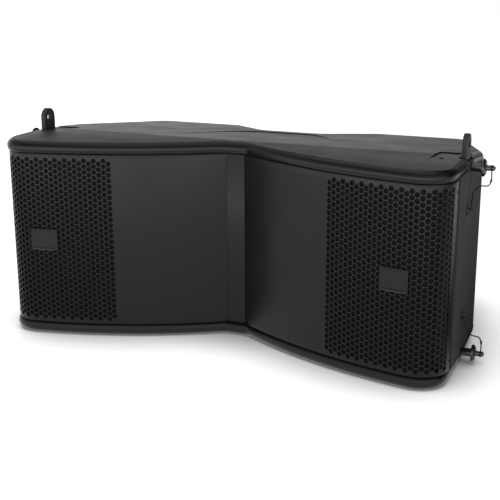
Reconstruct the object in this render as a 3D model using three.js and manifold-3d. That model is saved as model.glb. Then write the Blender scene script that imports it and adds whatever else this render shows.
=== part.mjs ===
// Line array speaker: one element of a hanging array, with a V-shaped front, two 10 inch woofers
// behind perforated sheets and a tall narrow high-frequency horn in the middle.
// Millimetres. +X is to the right seen from the front, +Y is backwards and +Z is up.
// Everything is drawn with x = 0 in the middle, z = 0 on the underside and y = 0 just behind the foremost
// part of the front, and the whole object is then moved so that y = 0 is halfway through its depth.
import * as THREE from "three";
import { mergeVertices } from "three/addons/utils/BufferGeometryUtils.js";
import Module from "manifold-3d";

const wasm = await Module();
wasm.setup();

const GAP = 0.3; // left between neighbours that touch
const DEG = Math.PI / 180;

// Cabinet plan and height
const HEIGHT = 354;
const MID_Z = HEIGHT / 2;
const SIDE_X = 404; // outer face of the side walls
const WALL = 15;
const CAP_DEPTH = 20; // depth of the end caps' rim
const CAP_OVERHANG = 4; // how far the rim stands out past the front
const CAP_SIDE_INSET = 3.7; // the rim is this much further in at the sides, level with the side plates
const FOOT_HEIGHT = 8; // height of the round under the rim's widest line
const ROLL_WIDTH = 9.5; // width of the rim's roll, from its outermost line to the crease on top
const WEDGE_Y = 137; // top and bottom are level in front of this line
const WEDGE_SLOPE = Math.tan(5.5 * DEG); // and close in on each other behind it
const MOUTH_Y = 116; // depth of the valley in the middle of the front
const WING_R = 856;
const WING_X = 483.8; // centre of the right wing's arc
const WING_Y = 837.5;
const CORNER_R = 50;
const CORNER_X = SIDE_X - CORNER_R;
const CORNER_Y = WING_Y - Math.sqrt((WING_R - CORNER_R) ** 2 - (WING_X - CORNER_X) ** 2);
const VALLEY_R = 30; // rounding between the valley floor and a wing
const ORIGIN_Y = 241.52; // moved to y = 0 at the end
const CHAMFER_Y = 252; // the sides turn inwards behind this line
const CHAMFER_ANGLE = 17.5 * DEG;
const REAR_Y = 491;
const RECESS_Y = 401; // floor of the recess in the middle of the back
const RECESS_X = 58; // half width of that floor
const REAR_CORNER_X = SIDE_X - (REAR_Y - CHAMFER_Y) * Math.tan(CHAMFER_ANGLE);
const RAMP_X = RECESS_X + REAR_Y - RECESS_Y; // where the 45 degree ramps reach the back

// Front
const SHEET = 2; // thickness of the perforated sheet
const SHEET_INNER_X = 17.4;
const SHEET_EDGE = CAP_DEPTH + 2; // the sheets end this far from the top and the underside
const SCREEN_FRONT_Y = 119.3;
const SCREEN_THICK = 1.7;
const SHEET_REAR_Y = 44.5; // how far back the sheet wraps round the side
const FOAM = 6;
const BAFFLE_OUTER = { x: 385, y: 28 };
const BAFFLE_ANGLE = 19.57 * DEG;
const NOSE_Y = 128; // front of the wall that carries the horn
const NOSE_X = 62;
const BADGE = { x: 320, z: 178, width: 50, height: 38.5, thick: 2.5 };

// Side rigging
const PLATE_X = 400; // inner face of the steel side plate
const PLATE_FRONT_Y = 63;
const PLATE_REAR_Y = 176;
const TONGUE_HALF = 17.5;
const LINK_Y = 141.5; // middle of the link arm, and the lock pins' axis
const LINK_X = 394.8;
const LINK_THICK = 8.5;
const LINK_WIDTH = 33;
const LINK_TOP = 389.6;
const LINK_BOTTOM = 246;
const PIN_RISE = 159; // lock pins above and below mid-height
const NOTCH_X = 385.3; // inner wall of the notch and groove that hold the link arm
const NOTCH_Y = [122, 161];
const HOLE_R = 7.5;
const SHANK_R = 7;
const ANCHOR_RISE = 90.5;
const ANCHOR_Y = 126;

// Woofer, in millimetres along its own axis; the front of the baffle is 0 and forwards is positive
const WOOFER_X = 235;
const WOOFER_CUTOUT_R = 116;

// Rear hardware
const SPLAY_Y = 430;
const SPLAY_Z = 289;
const SPLAY_HOLES = [0, 60, 80, 100];

// ---------------------------------------------------------------- geometry helpers

function volumeOf(geometry) {
  const position = geometry.getAttribute("position");
  const index = geometry.getIndex();
  const [a, b, c] = [new THREE.Vector3(), new THREE.Vector3(), new THREE.Vector3()];
  let volume = 0;
  for (let i = 0; i < index.count; i += 3) {
    a.fromBufferAttribute(position, index.getX(i));
    b.fromBufferAttribute(position, index.getX(i + 1));
    c.fromBufferAttribute(position, index.getX(i + 2));
    volume += a.dot(b.cross(c)) / 6;
  }
  return volume;
}

// A closed surface with shared corners, facing outwards.
function closed(geometry) {
  geometry.deleteAttribute("normal");
  geometry.deleteAttribute("uv");
  const merged = mergeVertices(geometry, 1e-3);
  const index = merged.getIndex();
  const kept = [];
  for (let i = 0; i < index.count; i += 3) {
    const [a, b, c] = [index.getX(i), index.getX(i + 1), index.getX(i + 2)];
    if (a !== b && b !== c && c !== a) kept.push(a, b, c);
  }
  merged.setIndex(kept);
  if (volumeOf(merged) < 0) merged.setIndex(kept.reverse());
  return merged;
}

function toSolid(geometry) {
  const merged = closed(geometry.clone());
  const vertProperties = new Float32Array(merged.getAttribute("position").array);
  const triVerts = new Uint32Array(merged.getIndex().array);
  return new wasm.Manifold(new wasm.Mesh({ numProp: 3, vertProperties, triVerts }));
}

function toGeometry(solid) {
  const mesh = solid.getMesh();
  const geometry = new THREE.BufferGeometry();
  geometry.setAttribute("position", new THREE.BufferAttribute(new Float32Array(mesh.vertProperties), 3));
  geometry.setIndex(new THREE.BufferAttribute(new Uint32Array(mesh.triVerts), 1));
  return geometry;
}

function combine(operation, first, rest) {
  let solid = toSolid(first);
  for (const geometry of rest) solid = solid[operation](toSolid(geometry));
  return toGeometry(solid);
}

const join = (first, ...rest) => combine("add", first, rest);
const cut = (first, ...rest) => combine("subtract", first, rest);
const common = (first, ...rest) => combine("intersect", first, rest);

// A block between two corners.
function block(x0, x1, y0, y1, z0, z1) {
  const geometry = new THREE.BoxGeometry(x1 - x0, y1 - y0, z1 - z0);
  return geometry.translate((x0 + x1) / 2, (y0 + y1) / 2, (z0 + z1) / 2);
}

// An outline, as a Shape or a list of points, pushed along an axis from one place to another.
// The outline's own two directions are y and z along X, x and z along Y, and x and y along Z.
function prism(outline, axis, from, to) {
  const shape = outline instanceof THREE.Shape ? outline : new THREE.Shape(outline);
  const geometry = new THREE.ExtrudeGeometry(shape, { depth: to - from, bevelEnabled: false });
  geometry.translate(0, 0, from);
  const [ex, ey, ez] = [new THREE.Vector3(1, 0, 0), new THREE.Vector3(0, 1, 0), new THREE.Vector3(0, 0, 1)];
  const turn = new THREE.Matrix4();
  if (axis === "x") turn.makeBasis(ey, ez, ex);
  if (axis === "y") turn.makeBasis(ex, ez, ey);
  return closed(geometry.applyMatrix4(turn));
}

// A round bar along an axis, through the point whose other two coordinates are given.
function rod(radius, axis, from, to, at, segments = 24) {
  const geometry = new THREE.CylinderGeometry(radius, radius, to - from, segments);
  const middle = (from + to) / 2;
  if (axis === "x") return geometry.rotateZ(Math.PI / 2).translate(middle, at[0], at[1]);
  if (axis === "y") return geometry.translate(at[0], middle, at[1]);
  return geometry.rotateX(Math.PI / 2).translate(at[0], at[1], middle);
}

// A turned shape about the Y axis, from [radius, height] pairs.
function turned(profile, segments = 32) {
  return closed(new THREE.LatheGeometry(profile.map(([r, y]) => new THREE.Vector2(r, y)), segments));
}

// The same geometry on the other side of x = 0, or of mid-height.
function mirroredX(geometry) {
  return closed(geometry.clone().scale(-1, 1, 1));
}

function mirroredZ(geometry) {
  return closed(geometry.clone().scale(1, 1, -1).translate(0, 0, HEIGHT));
}

const point = (x, y) => new THREE.Vector2(x, y);

// Points with their outward directions. side is 1 on a bulge and -1 in a hollow.
function arc(cx, cy, r, from, to, steps, side = 1) {
  return Array.from({ length: steps + 1 }, (_, i) => {
    const angle = from + ((to - from) * i) / steps;
    const [nx, ny] = [Math.cos(angle), Math.sin(angle)];
    return { x: cx + r * nx, y: cy + r * ny, nx: side * nx, ny: side * ny };
  });
}

function roundedBox(x0, x1, z0, z1, r, steps = 3) {
  const corner = (cx, cz, turns) => {
    const from = (turns * Math.PI) / 2;
    return arc(cx, cz, r, from, from + Math.PI / 2, steps);
  };
  return new THREE.Shape([
    ...corner(x1 - r, z1 - r, 0),
    ...corner(x0 + r, z1 - r, 1),
    ...corner(x0 + r, z0 + r, 2),
    ...corner(x1 - r, z0 + r, 3),
  ]);
}

function hole(shape, x, y, r, steps = 20) {
  shape.holes.push(new THREE.Path(arc(x, y, r, 0, 2 * Math.PI, steps).slice(1)));
}

// ---------------------------------------------------------------- plan of the cabinet

// The rounding of corner b between the straight edges from a and to c.
function rounded(a, b, c, r, steps) {
  const towards = (p) => point(p.x - b.x, p.y - b.y).normalize();
  const [u, v] = [towards(a), towards(c)];
  const half = Math.acos(u.dot(v)) / 2;
  const middle = u.clone().add(v).normalize().multiplyScalar(r / Math.sin(half));
  const [cx, cy] = [b.x + middle.x, b.y + middle.y];
  const reach = r / Math.tan(half);
  const from = Math.atan2(b.y + u.y * reach - cy, b.x + u.x * reach - cx);
  const to = Math.atan2(b.y + v.y * reach - cy, b.x + v.x * reach - cx);
  const sweep = Math.atan2(Math.sin(to - from), Math.cos(to - from));
  return arc(cx, cy, r, from, from + sweep, steps, Math.sign(sweep));
}

const cornerStart = Math.atan2(CORNER_Y - WING_Y, CORNER_X - WING_X);

// The right wing and its outer corner, from the plan position x on the wing to the side.
function wingFrom(x, wingSteps = 18) {
  const start = -Math.acos((x - WING_X) / WING_R);
  return [
    ...arc(WING_X, WING_Y, WING_R, start, cornerStart, wingSteps),
    ...arc(CORNER_X, CORNER_Y, CORNER_R, cornerStart, 0, 9).slice(1),
  ];
}

// The right half of the back, from the side wall to the middle.
function rearHalf() {
  const chamfer = point(SIDE_X, CHAMFER_Y);
  const corner = point(REAR_CORNER_X, REAR_Y);
  const rampTop = point(RAMP_X, REAR_Y);
  const rampFoot = point(RECESS_X, RECESS_Y);
  return [
    ...rounded(point(SIDE_X, 0), chamfer, corner, 60, 3),
    ...rounded(chamfer, corner, rampTop, 35, 6),
    ...rounded(corner, rampTop, rampFoot, 25, 4),
    ...rounded(rampTop, rampFoot, point(0, RECESS_Y), 30, 3),
  ];
}

// The whole outline of the walls, going round from the middle of the front.
function wallOutline() {
  const valleyY = MOUTH_Y - VALLEY_R;
  const valleyX = WING_X - Math.sqrt((WING_R + VALLEY_R) ** 2 - (WING_Y - valleyY) ** 2);
  const meet = Math.atan2(WING_Y - valleyY, WING_X - valleyX);
  const wingStartX = valleyX + VALLEY_R * Math.cos(meet);
  const half = [
    ...arc(valleyX, valleyY, VALLEY_R, Math.PI / 2, meet, 3, -1).slice(0, -1),
    ...wingFrom(wingStartX),
    ...rearHalf(),
  ];
  const otherHalf = half.map(({ x, y, nx, ny }) => ({ x: -x, y, nx: -nx, ny })).reverse();
  return [...half, ...otherHalf];
}

// A closed skin through copies of the outline, each one moved outwards by its offset.
function ringSolid(outline, rings) {
  const n = outline.length;
  const positions = [];
  for (const { offset, z } of rings) {
    for (const p of outline) positions.push(p.x + p.nx * offset, p.y + p.ny * offset, z);
  }
  const index = [];
  for (let ring = 0; ring + 1 < rings.length; ring++) {
    for (let i = 0; i < n; i++) {
      const [a, b] = [ring * n + i, ring * n + ((i + 1) % n)];
      index.push(a, b, b + n, a, b + n, a + n);
    }
  }
  const endFace = (ring) => {
    const { offset } = rings[ring];
    const contour = outline.map((p) => point(p.x + p.nx * offset, p.y + p.ny * offset));
    return THREE.ShapeUtils.triangulateShape(contour, []).map((t) => t.map((i) => i + ring * n));
  };
  for (const [a, b, c] of endFace(0)) index.push(a, c, b);
  for (const t of endFace(rings.length - 1)) index.push(...t);
  const geometry = new THREE.BufferGeometry();
  geometry.setAttribute("position", new THREE.Float32BufferAttribute(positions, 3));
  geometry.setIndex(index);
  return closed(geometry);
}

// Space above a sloping plane that starts level with z at the wedge line, across the whole width.
function spaceAboveWedge(z) {
  const rear = REAR_Y + 100;
  const fall = (rear - WEDGE_Y) * WEDGE_SLOPE;
  const outline = [point(WEDGE_Y, z), point(rear, z - fall), point(rear, z + 200), point(WEDGE_Y, z + 200)];
  return prism(outline, "x", -SIDE_X - 50, SIDE_X + 50);
}

// Lowers everything behind the wedge line along the slope.
function wedged(geometry) {
  const reach = SIDE_X + 50;
  const front = common(geometry, block(-reach, reach, -100, WEDGE_Y, -50, HEIGHT + 50));
  const rear = common(geometry, block(-reach, reach, WEDGE_Y, REAR_Y + 100, -50, HEIGHT + 50));
  const position = rear.getAttribute("position");
  for (let i = 0; i < position.count; i++) {
    position.setZ(i, position.getZ(i) - (position.getY(i) - WEDGE_Y) * WEDGE_SLOPE);
  }
  return join(front, rear);
}

// ---------------------------------------------------------------- cabinet

const capBase = HEIGHT - CAP_DEPTH;

// Where an upper lock pin's tip goes when it is pushed home. Half of this bore is in the cap, half in the shell.
const pinTipBore = () => rod(HOLE_R, "x", 377, NOTCH_X + 5, [LINK_Y, MID_Z + PIN_RISE]);

// The end caps' outline: the walls, a little further in at the sides.
function capOutline() {
  return wallOutline().map((p) => ({ ...p, x: p.x - CAP_SIDE_INSET * p.nx ** 5 }));
}

// The rim's section: a small round at the foot, a wide roll above it and a crease where the roll ends.
function rimRings() {
  const crease = 72 * DEG;
  const roundWidth = ROLL_WIDTH / (1 - Math.cos(crease));
  const roundHeight = (CAP_DEPTH - FOOT_HEIGHT) / Math.sin(crease);
  const rings = [
    { offset: 0.5, z: capBase },
    { offset: 2.6, z: capBase + 1.6 },
    { offset: CAP_OVERHANG - 0.3, z: capBase + 4.5 },
  ];
  for (let step = 0; step <= 5; step++) {
    const angle = (step * crease) / 5;
    rings.push({
      offset: CAP_OVERHANG - roundWidth * (1 - Math.cos(angle)),
      z: capBase + FOOT_HEIGHT + roundHeight * Math.sin(angle),
    });
  }
  return rings;
}

// A shallow pocket: everything above a floor that falls backwards, inside an outline seen from above.
function pocketSpace(outline, startY, floorSlope) {
  const geometry = prism(outline, "z", HEIGHT - 60, HEIGHT + 20);
  const position = geometry.getAttribute("position");
  for (let i = 0; i < position.count; i++) {
    if (position.getZ(i) < HEIGHT) position.setZ(i, HEIGHT - (position.getY(i) - startY) * floorSlope);
  }
  return geometry;
}

function topEndCap() {
  const slab = wedged(ringSolid(capOutline(), rimRings()));
  const centrePocket = pocketSpace(
    [point(-135, 175), point(135, 175), point(135, 235), point(118, 280), point(94, 322), point(58, 363),
      point(-58, 363), point(-94, 322), point(-118, 280), point(-135, 235)],
    141,
    0.1052,
  );
  const linkPocket = pocketSpace([point(345, 88), point(430, 88), point(430, 180), point(345, 180)], 88, 0.0667);
  const notch = block(NOTCH_X, 430, ...NOTCH_Y, capBase - 5, HEIGHT + 10);
  const sideCuts = [linkPocket, notch, pinTipBore()];
  return cut(slab, centrePocket, ...sideCuts, ...sideCuts.map(mirroredX));
}

// A point on the baffle's front or behind it, by its distance from the outer edge and its depth.
function onBaffle(along, depth) {
  const [c, s] = [Math.cos(BAFFLE_ANGLE), Math.sin(BAFFLE_ANGLE)];
  return point(BAFFLE_OUTER.x - along * c + depth * s, BAFFLE_OUTER.y + along * s + depth * c);
}

const halfLoop = (half) => [...half, ...half.map((p) => point(-p.x, p.y)).reverse()];

function shellOutline() {
  const noseFoot = onBaffle((BAFFLE_OUTER.x - NOSE_X) / Math.cos(BAFFLE_ANGLE), 0);
  return halfLoop([
    point(NOSE_X, NOSE_Y),
    noseFoot,
    point(BAFFLE_OUTER.x, BAFFLE_OUTER.y),
    point(395, BAFFLE_OUTER.y),
    point(395, PLATE_FRONT_Y - 0.7),
    point(PLATE_X - GAP, PLATE_FRONT_Y - 0.7),
    point(PLATE_X - GAP, PLATE_REAR_Y + GAP),
    point(SIDE_X, PLATE_REAR_Y + GAP),
    ...rearHalf().map((p) => point(p.x, p.y)),
  ]);
}

function cavityOutline() {
  const innerSide = 374;
  const baffleBack = onBaffle((BAFFLE_OUTER.x - innerSide + 5) / Math.cos(BAFFLE_ANGLE), WALL);
  const chamferShift = WALL / Math.cos(CHAMFER_ANGLE);
  const chamferX = (y) => SIDE_X - chamferShift - (y - CHAMFER_Y) * Math.tan(CHAMFER_ANGLE);
  const chamferStart = CHAMFER_Y + (SIDE_X - chamferShift - innerSide) / Math.tan(CHAMFER_ANGLE);
  const rampShift = WALL * (Math.SQRT2 - 1);
  return halfLoop([
    point(50, NOSE_Y + WALL),
    point(75, 154.3),
    point(innerSide, baffleBack.y),
    point(innerSide, chamferStart),
    point(chamferX(REAR_Y - WALL), REAR_Y - WALL),
    point(RAMP_X + rampShift, REAR_Y - WALL),
    point(RECESS_X + rampShift, RECESS_Y - WALL),
  ]);
}

// The woofer's place, with its +Y axis pointing out of the baffle.
function wooferPlace(side) {
  const along = (BAFFLE_OUTER.x - WOOFER_X) / Math.cos(BAFFLE_ANGLE);
  const group = new THREE.Group();
  group.position.set(side * WOOFER_X, onBaffle(along, 0).y, MID_Z);
  group.rotation.z = side * (Math.PI - BAFFLE_ANGLE);
  return group;
}

function wooferOpening(side) {
  const place = wooferPlace(side);
  place.updateMatrix();
  return rod(WOOFER_CUTOUT_R, "y", -60, 40, [0, 0], 48).applyMatrix4(place.matrix);
}

function cabinetShell() {
  const [low, high] = [CAP_DEPTH + GAP, capBase - GAP];
  const outside = prism(shellOutline(), "z", low, high);
  const cavity = cut(
    prism(cavityOutline(), "z", low + WALL, high - WALL),
    spaceAboveWedge(high - WALL),
    mirroredZ(spaceAboveWedge(high - WALL)),
  );
  const hornSlot = block(-23, 23, 100, 160, MID_Z - 148, MID_Z + 148);
  const inputSlot = block(-34, 34, RECESS_Y - WALL - 20, RECESS_Y + 20, 58, 134);
  const handleSlot = block(186, 290, REAR_Y - WALL - 20, REAR_Y + 20, 133, 221);
  const groove = block(NOTCH_X, 430, LINK_Y - 17, LINK_Y + 17, 0, HEIGHT);
  const sideCuts = [handleSlot, groove, pinTipBore(), mirroredZ(pinTipBore())];
  return cut(
    outside,
    spaceAboveWedge(high),
    mirroredZ(spaceAboveWedge(high)),
    cavity,
    wooferOpening(1),
    wooferOpening(-1),
    hornSlot,
    inputSlot,
    ...sideCuts,
    ...sideCuts.map(mirroredX),
  );
}

// ---------------------------------------------------------------- front

// A sheet that follows the wing, between two depths behind the wall line.
function wingSheet(points, outer, inner, z0, z1) {
  const at = (depth) => points.map((p) => point(p.x - p.nx * depth, p.y - p.ny * depth));
  return prism([...at(outer), ...at(inner).reverse()], "z", z0, z1);
}

function grille() {
  const side = { x: SIDE_X, y: SHEET_REAR_Y, nx: 1, ny: 0 };
  return wingSheet([...wingFrom(SHEET_INNER_X, 26), side], 0, SHEET, SHEET_EDGE, HEIGHT - SHEET_EDGE);
}

function grilleFoam() {
  const points = wingFrom(75, 20).filter((p) => p.y < 60 || p.x < CORNER_X).slice(0, -4);
  return wingSheet(points, SHEET + GAP, SHEET + GAP + FOAM, CAP_DEPTH + 4, capBase - 4);
}

function mouthScreen() {
  const half = SHEET_INNER_X - 0.5;
  const rear = SCREEN_FRONT_Y + SCREEN_THICK;
  return block(-half, half, SCREEN_FRONT_Y, rear, SHEET_EDGE, HEIGHT - SHEET_EDGE);
}

function badge() {
  const start = wingFrom(BADGE.x - BADGE.width / 2, 6).filter((p) => p.x < BADGE.x + BADGE.width / 2);
  const [z0, z1] = [BADGE.z - BADGE.height / 2, BADGE.z + BADGE.height / 2];
  return wingSheet(start, -BADGE.thick - GAP, -GAP, z0, z1);
}

// A four-sided loft along Y between two rectangles centred on mid-height.
function taper(y0, halfX0, halfZ0, y1, halfX1, halfZ1) {
  const geometry = block(-1, 1, y0, y1, -1, 1);
  const position = geometry.getAttribute("position");
  for (let i = 0; i < position.count; i++) {
    const front = position.getY(i) < (y0 + y1) / 2;
    position.setX(i, position.getX(i) * (front ? halfX0 : halfX1));
    position.setZ(i, MID_Z + position.getZ(i) * (front ? halfZ0 : halfZ1));
  }
  return geometry;
}

function waveguideHorn() {
  const rear = 234;
  const flange = block(-44, 44, 122, NOSE_Y - GAP, 28, HEIGHT - 28);
  const outside = taper(NOSE_Y - 2, 22, 146, rear, 17, 120);
  const rearPlate = block(-46, 46, rear - 8, rear, MID_Z - 124, MID_Z + 124);
  const inside = taper(121, 15.5, 142, rear + 1, 9, 108);
  return cut(join(flange, outside, rearPlate), inside);
}

function compressionDriver() {
  return turned([
    [12.5, 0], [44, 0], [44, 7], [40, 8], [40, 30], [43, 31], [43, 37], [37, 41], [30, 50],
    [22, 54], [0, 55], [0, 16], [12.5, 12], [12.5, 0],
  ], 24);
}

// ---------------------------------------------------------------- woofer parts, turned about the Y axis

function wooferBasket() {
  const bowl = turned([
    [111, GAP], [130.5, GAP], [130.5, 6], [110, 6], [106, 2], [104, -12], [60, -66], [46, -70], [46, -73],
    [68, -73], [68, -70], [110, -14], [111, GAP],
  ], 36);
  const windows = [];
  for (let i = 0; i < 6; i++) {
    const window = prism([point(-60, -22), point(-24, -36), point(-24, 36), point(-60, 22)], "x", 40, 140);
    windows.push(window.rotateY((i * Math.PI) / 3));
  }
  return cut(bowl, ...windows);
}

function wooferMagnet() {
  return turned([
    [0, -74], [23, -74], [23, -104], [28.5, -104], [28.5, -81], [28.5, -74], [62, -74], [62, -81], [68, -82],
    [68, -104], [62, -105], [60, -112], [0, -112],
  ], 28);
}

function wooferCone() {
  return turned([[26, -50], [26, -48.6], [60, -32], [97, -3.4], [97, -5], [60, -34], [26, -50]], 36);
}

// The half-round roll between the cone's edge and the basket.
function wooferSurround() {
  const [inner, outer] = [97.4, 103.4];
  const middle = (inner + outer) / 2;
  const roll = (halfWidth, height, base) => arc(0, 0, 1, Math.PI, 0, 4)
    .map(({ x, y }) => [middle + halfWidth * x, base + height * y]);
  const profile = [...roll(3, 6, -3.6), ...roll(2, 5, -5).reverse()];
  return turned([...profile, profile[0]], 36);
}

function wooferDustCap() {
  const radius = 37;
  const dome = (edge, top) => [0, 0.33, 0.67, 1].map((share) => [edge * share, top - 11.5 * share * share]);
  return turned([...dome(radius, -30), ...dome(radius - 0.6, -31.4).reverse()], 28);
}

function wooferVoiceCoil() {
  return turned([[25, -96], [26.4, -96], [26.4, -51], [25, -51], [25, -96]], 28);
}

// ---------------------------------------------------------------- crossover

const BOARD = { x0: 130, x1: 290, y0: 290, y1: 400, z: 68 };

function crossoverBoard() {
  const floor = (y) => CAP_DEPTH + GAP + WALL + (y - WEDGE_Y) * WEDGE_SLOPE;
  const post = (x, y) => rod(4, "z", floor(y + 4) + GAP, BOARD.z - 1, [x, y], 12);
  return join(
    block(BOARD.x0, BOARD.x1, BOARD.y0, BOARD.y1, BOARD.z - 2, BOARD.z),
    post(BOARD.x0 + 8, BOARD.y0 + 8),
    post(BOARD.x1 - 8, BOARD.y0 + 8),
    post(BOARD.x0 + 8, BOARD.y1 - 8),
    post(BOARD.x1 - 8, BOARD.y1 - 8),
  );
}

function crossoverCoil(radius, height) {
  return turned([
    [radius * 0.4, 0], [radius + 3, 0], [radius + 3, 2], [radius, 2], [radius, height - 2],
    [radius + 3, height - 2], [radius + 3, height], [radius * 0.4, height], [radius * 0.4, 0],
  ], 24);
}

// ---------------------------------------------------------------- back

function inputPanel() {
  const shape = roundedBox(-42, 42, 52, 140, 4);
  for (const z of CONNECTOR_Z) hole(shape, 0, z, 13);
  for (const x of [-36, 36]) for (const z of [58, 134]) hole(shape, x, z, 2.2);
  return prism(shape, "y", RECESS_Y + GAP, RECESS_Y + GAP + 3);
}

const CONNECTOR_Z = [76, 116];

// A twist-lock loudspeaker socket: a round body behind a square flange, with a keyed centre post.
function connector(z) {
  const face = RECESS_Y + 2 * GAP + 3;
  const flange = prism(roundedBox(-15.5, 15.5, z - 15.5, z + 15.5, 3), "y", face, face + 2.5);
  const barrel = rod(12.5, "y", face - 22, face + 5, [0, z], 32);
  const well = rod(10.5, "y", face - 12, face + 8, [0, z], 32);
  const post = rod(5.5, "y", face - 14, face + 3.5, [0, z], 24);
  return join(cut(join(flange, barrel), well), post);
}

function handleCup() {
  const [x0, x1, z0, z1] = [187, 289, 134, 220];
  const face = REAR_Y + GAP;
  const flange = prism(roundedBox(x0 - 7, x1 + 7, z0 - 7, z1 + 7, 10), "y", face, face + 3);
  const outside = prism(roundedBox(x0, x1, z0, z1, 12), "y", face - 44, face + 1);
  const inside = prism(roundedBox(x0 + 3, x1 - 3, z0 + 3, z1 - 3, 10), "y", face - 41, face + 10);
  const grip = rod(9, "x", x0 + 1, x1 - 1, [face - 9, z1 - 22], 20);
  return join(cut(join(flange, outside), inside), grip);
}

const splayPlane = { thick: 8, width: 30 };

function splayBracket() {
  const base = block(-26, 26, RECESS_Y + GAP, RECESS_Y + GAP + 4, 175, 300);
  const ear = block(8.5, 12.5, RECESS_Y + 2, SPLAY_Y + 22, 232, 304);
  const bore = rod(HOLE_R, "x", -30, 30, [SPLAY_Y, SPLAY_Z]);
  return cut(join(base, ear, mirroredX(ear)), bore);
}

// A flat link with one round end, standing on its edge across X.
function linkPlate(middleY, middleX, thick, width, bottom, top, holes) {
  const r = width / 2;
  const shape = new THREE.Shape([
    point(middleY - r, bottom + 4),
    point(middleY - r + 4, bottom),
    point(middleY + r - 4, bottom),
    point(middleY + r, bottom + 4),
    ...arc(middleY, top - r, r, 0, Math.PI, 16),
  ]);
  for (const z of holes) hole(shape, middleY, z, HOLE_R);
  return prism(shape, "x", middleX - thick / 2, middleX + thick / 2);
}

function splayArm() {
  const holes = SPLAY_HOLES.map((rise) => SPLAY_Z - rise);
  return linkPlate(SPLAY_Y, 0, splayPlane.thick, splayPlane.width, 150, SPLAY_Z + splayPlane.width / 2, holes);
}

// ---------------------------------------------------------------- side rigging, right-hand side

function sidePlate() {
  const low = CAP_DEPTH + 2 * GAP;
  const [tongueTop, r] = [HEIGHT - 8, 5];
  const front = LINK_Y - TONGUE_HALF;
  const rear = LINK_Y + TONGUE_HALF;
  const lowAt = (y) => low + Math.max(0, y - WEDGE_Y) * WEDGE_SLOPE;
  const lowerHalf = [
    point(PLATE_FRONT_Y, low),
    point(front, low),
    ...arc(front + r, HEIGHT - tongueTop + r, r, Math.PI, Math.PI * 1.5, 4),
    ...arc(rear - r, HEIGHT - tongueTop + r, r, Math.PI * 1.5, Math.PI * 2, 4),
    point(rear, lowAt(rear)),
    point(PLATE_REAR_Y, lowAt(PLATE_REAR_Y)),
  ];
  const upperHalf = lowerHalf.map((p) => point(p.x, HEIGHT - p.y)).reverse();
  const shape = new THREE.Shape([...lowerHalf, ...upperHalf]);
  for (const rise of [-PIN_RISE, PIN_RISE]) hole(shape, LINK_Y, MID_Z + rise, HOLE_R);
  return prism(shape, "x", PLATE_X, SIDE_X);
}

function linkArm() {
  const holes = [LINK_TOP - LINK_WIDTH / 2, MID_Z + PIN_RISE];
  return linkPlate(LINK_Y, LINK_X, LINK_THICK, LINK_WIDTH, LINK_BOTTOM, LINK_TOP, holes);
}

// A lock pin turned about the Y axis, with its tip at 0 and the button's well at the far end.
const PIN = { tip: 399.6, flange: 22.4, stem: 28.4, end: 41.5 };

function lockPin() {
  return turned([
    [0, 0], [4.8, 0], [SHANK_R, 3], [SHANK_R, PIN.flange], [14.6, PIN.flange], [14.6, PIN.flange + 3.4],
    [11.5, PIN.stem], [4.5, PIN.stem], [4.5, 36], [3.6, 36.4], [3.6, 38.4], [4.5, 38.8], [4.5, PIN.end],
    [2.9, PIN.end], [2.9, 36.8], [0, 36.8],
  ], 20);
}

function pinButton() {
  const top = PIN.end + 1.6;
  return turned([[0, 39.2], [2.6, 39.2], [2.6, top - 0.6], [2, top], [0, top]], 16);
}

// A tall oval foot with a staple on it, standing out from the side plate.
function lanyardAnchor() {
  const z = MID_Z + ANCHOR_RISE;
  const foot = roundedBox(ANCHOR_Y - 4.5, ANCHOR_Y + 4.5, z - 9.5, z + 9.5, 4);
  const base = prism(foot, "x", SIDE_X + GAP, SIDE_X + 2);
  const leg = (rise) => rod(1.6, "x", SIDE_X + 1, SIDE_X + 6, [ANCHOR_Y, z + rise], 12);
  const bar = rod(1.6, "z", z - 6.6, z + 6.6, [SIDE_X + 6, ANCHOR_Y], 12);
  return join(base, leg(-5), leg(5), bar);
}

// The wire between the pin's stem and its anchor, drawn for the upper pin.
function lanyard() {
  const stemX = PIN.tip + 37.4;
  const z = (rise) => MID_Z + rise;
  const curve = new THREE.CatmullRomCurve3([
    new THREE.Vector3(stemX, LINK_Y, z(PIN_RISE - 5.4)),
    new THREE.Vector3(stemX, LINK_Y, z(139)),
    new THREE.Vector3(stemX - 4.5, LINK_Y, z(130)),
    new THREE.Vector3(stemX - 18, LINK_Y + 2, z(127.5)),
    new THREE.Vector3(SIDE_X + 5, LINK_Y + 19, z(116)),
    new THREE.Vector3(SIDE_X + 5, LINK_Y + 8, z(103)),
    new THREE.Vector3(SIDE_X + 6, ANCHOR_Y + 3.2, z(ANCHOR_RISE + 4)),
  ]);
  const section = new THREE.Shape();
  section.absarc(0, 0, 1.1, 0, Math.PI * 2);
  return closed(new THREE.ExtrudeGeometry(section, { steps: 28, curveSegments: 3, extrudePath: curve }));
}

// ---------------------------------------------------------------- assembly

const lineArray = new THREE.Group();
lineArray.name = "line_array_speaker";
lineArray.position.y = -ORIGIN_Y;

const finish = (color, roughness, metalness = 0) =>
  new THREE.MeshStandardMaterial({ color, roughness, metalness });

const FINISH = {
  shell: () => finish(0x2b2c2e, 0.6),
  cap: () => finish(0x3b3c3e, 0.45),
  grille: () => finish(0x303133, 0.45, 0.4),
  foam: () => finish(0x121212, 0.95),
  screen: () => finish(0x343537, 0.5, 0.2),
  horn: () => finish(0x1a1a1a, 0.6),
  steel: () => finish(0x2a2a2b, 0.45, 0.7),
  bright: () => finish(0xa8a9ab, 0.3, 1),
  paper: () => finish(0x181818, 0.85),
  rubber: () => finish(0x111111, 0.8),
  board: () => finish(0x2f5a3a, 0.6),
  copper: () => finish(0xa55a2b, 0.35, 0.9),
  plastic: () => finish(0x161718, 0.5),
  badge: () => finish(0x3a3b3d, 0.35, 0.5),
};

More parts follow.
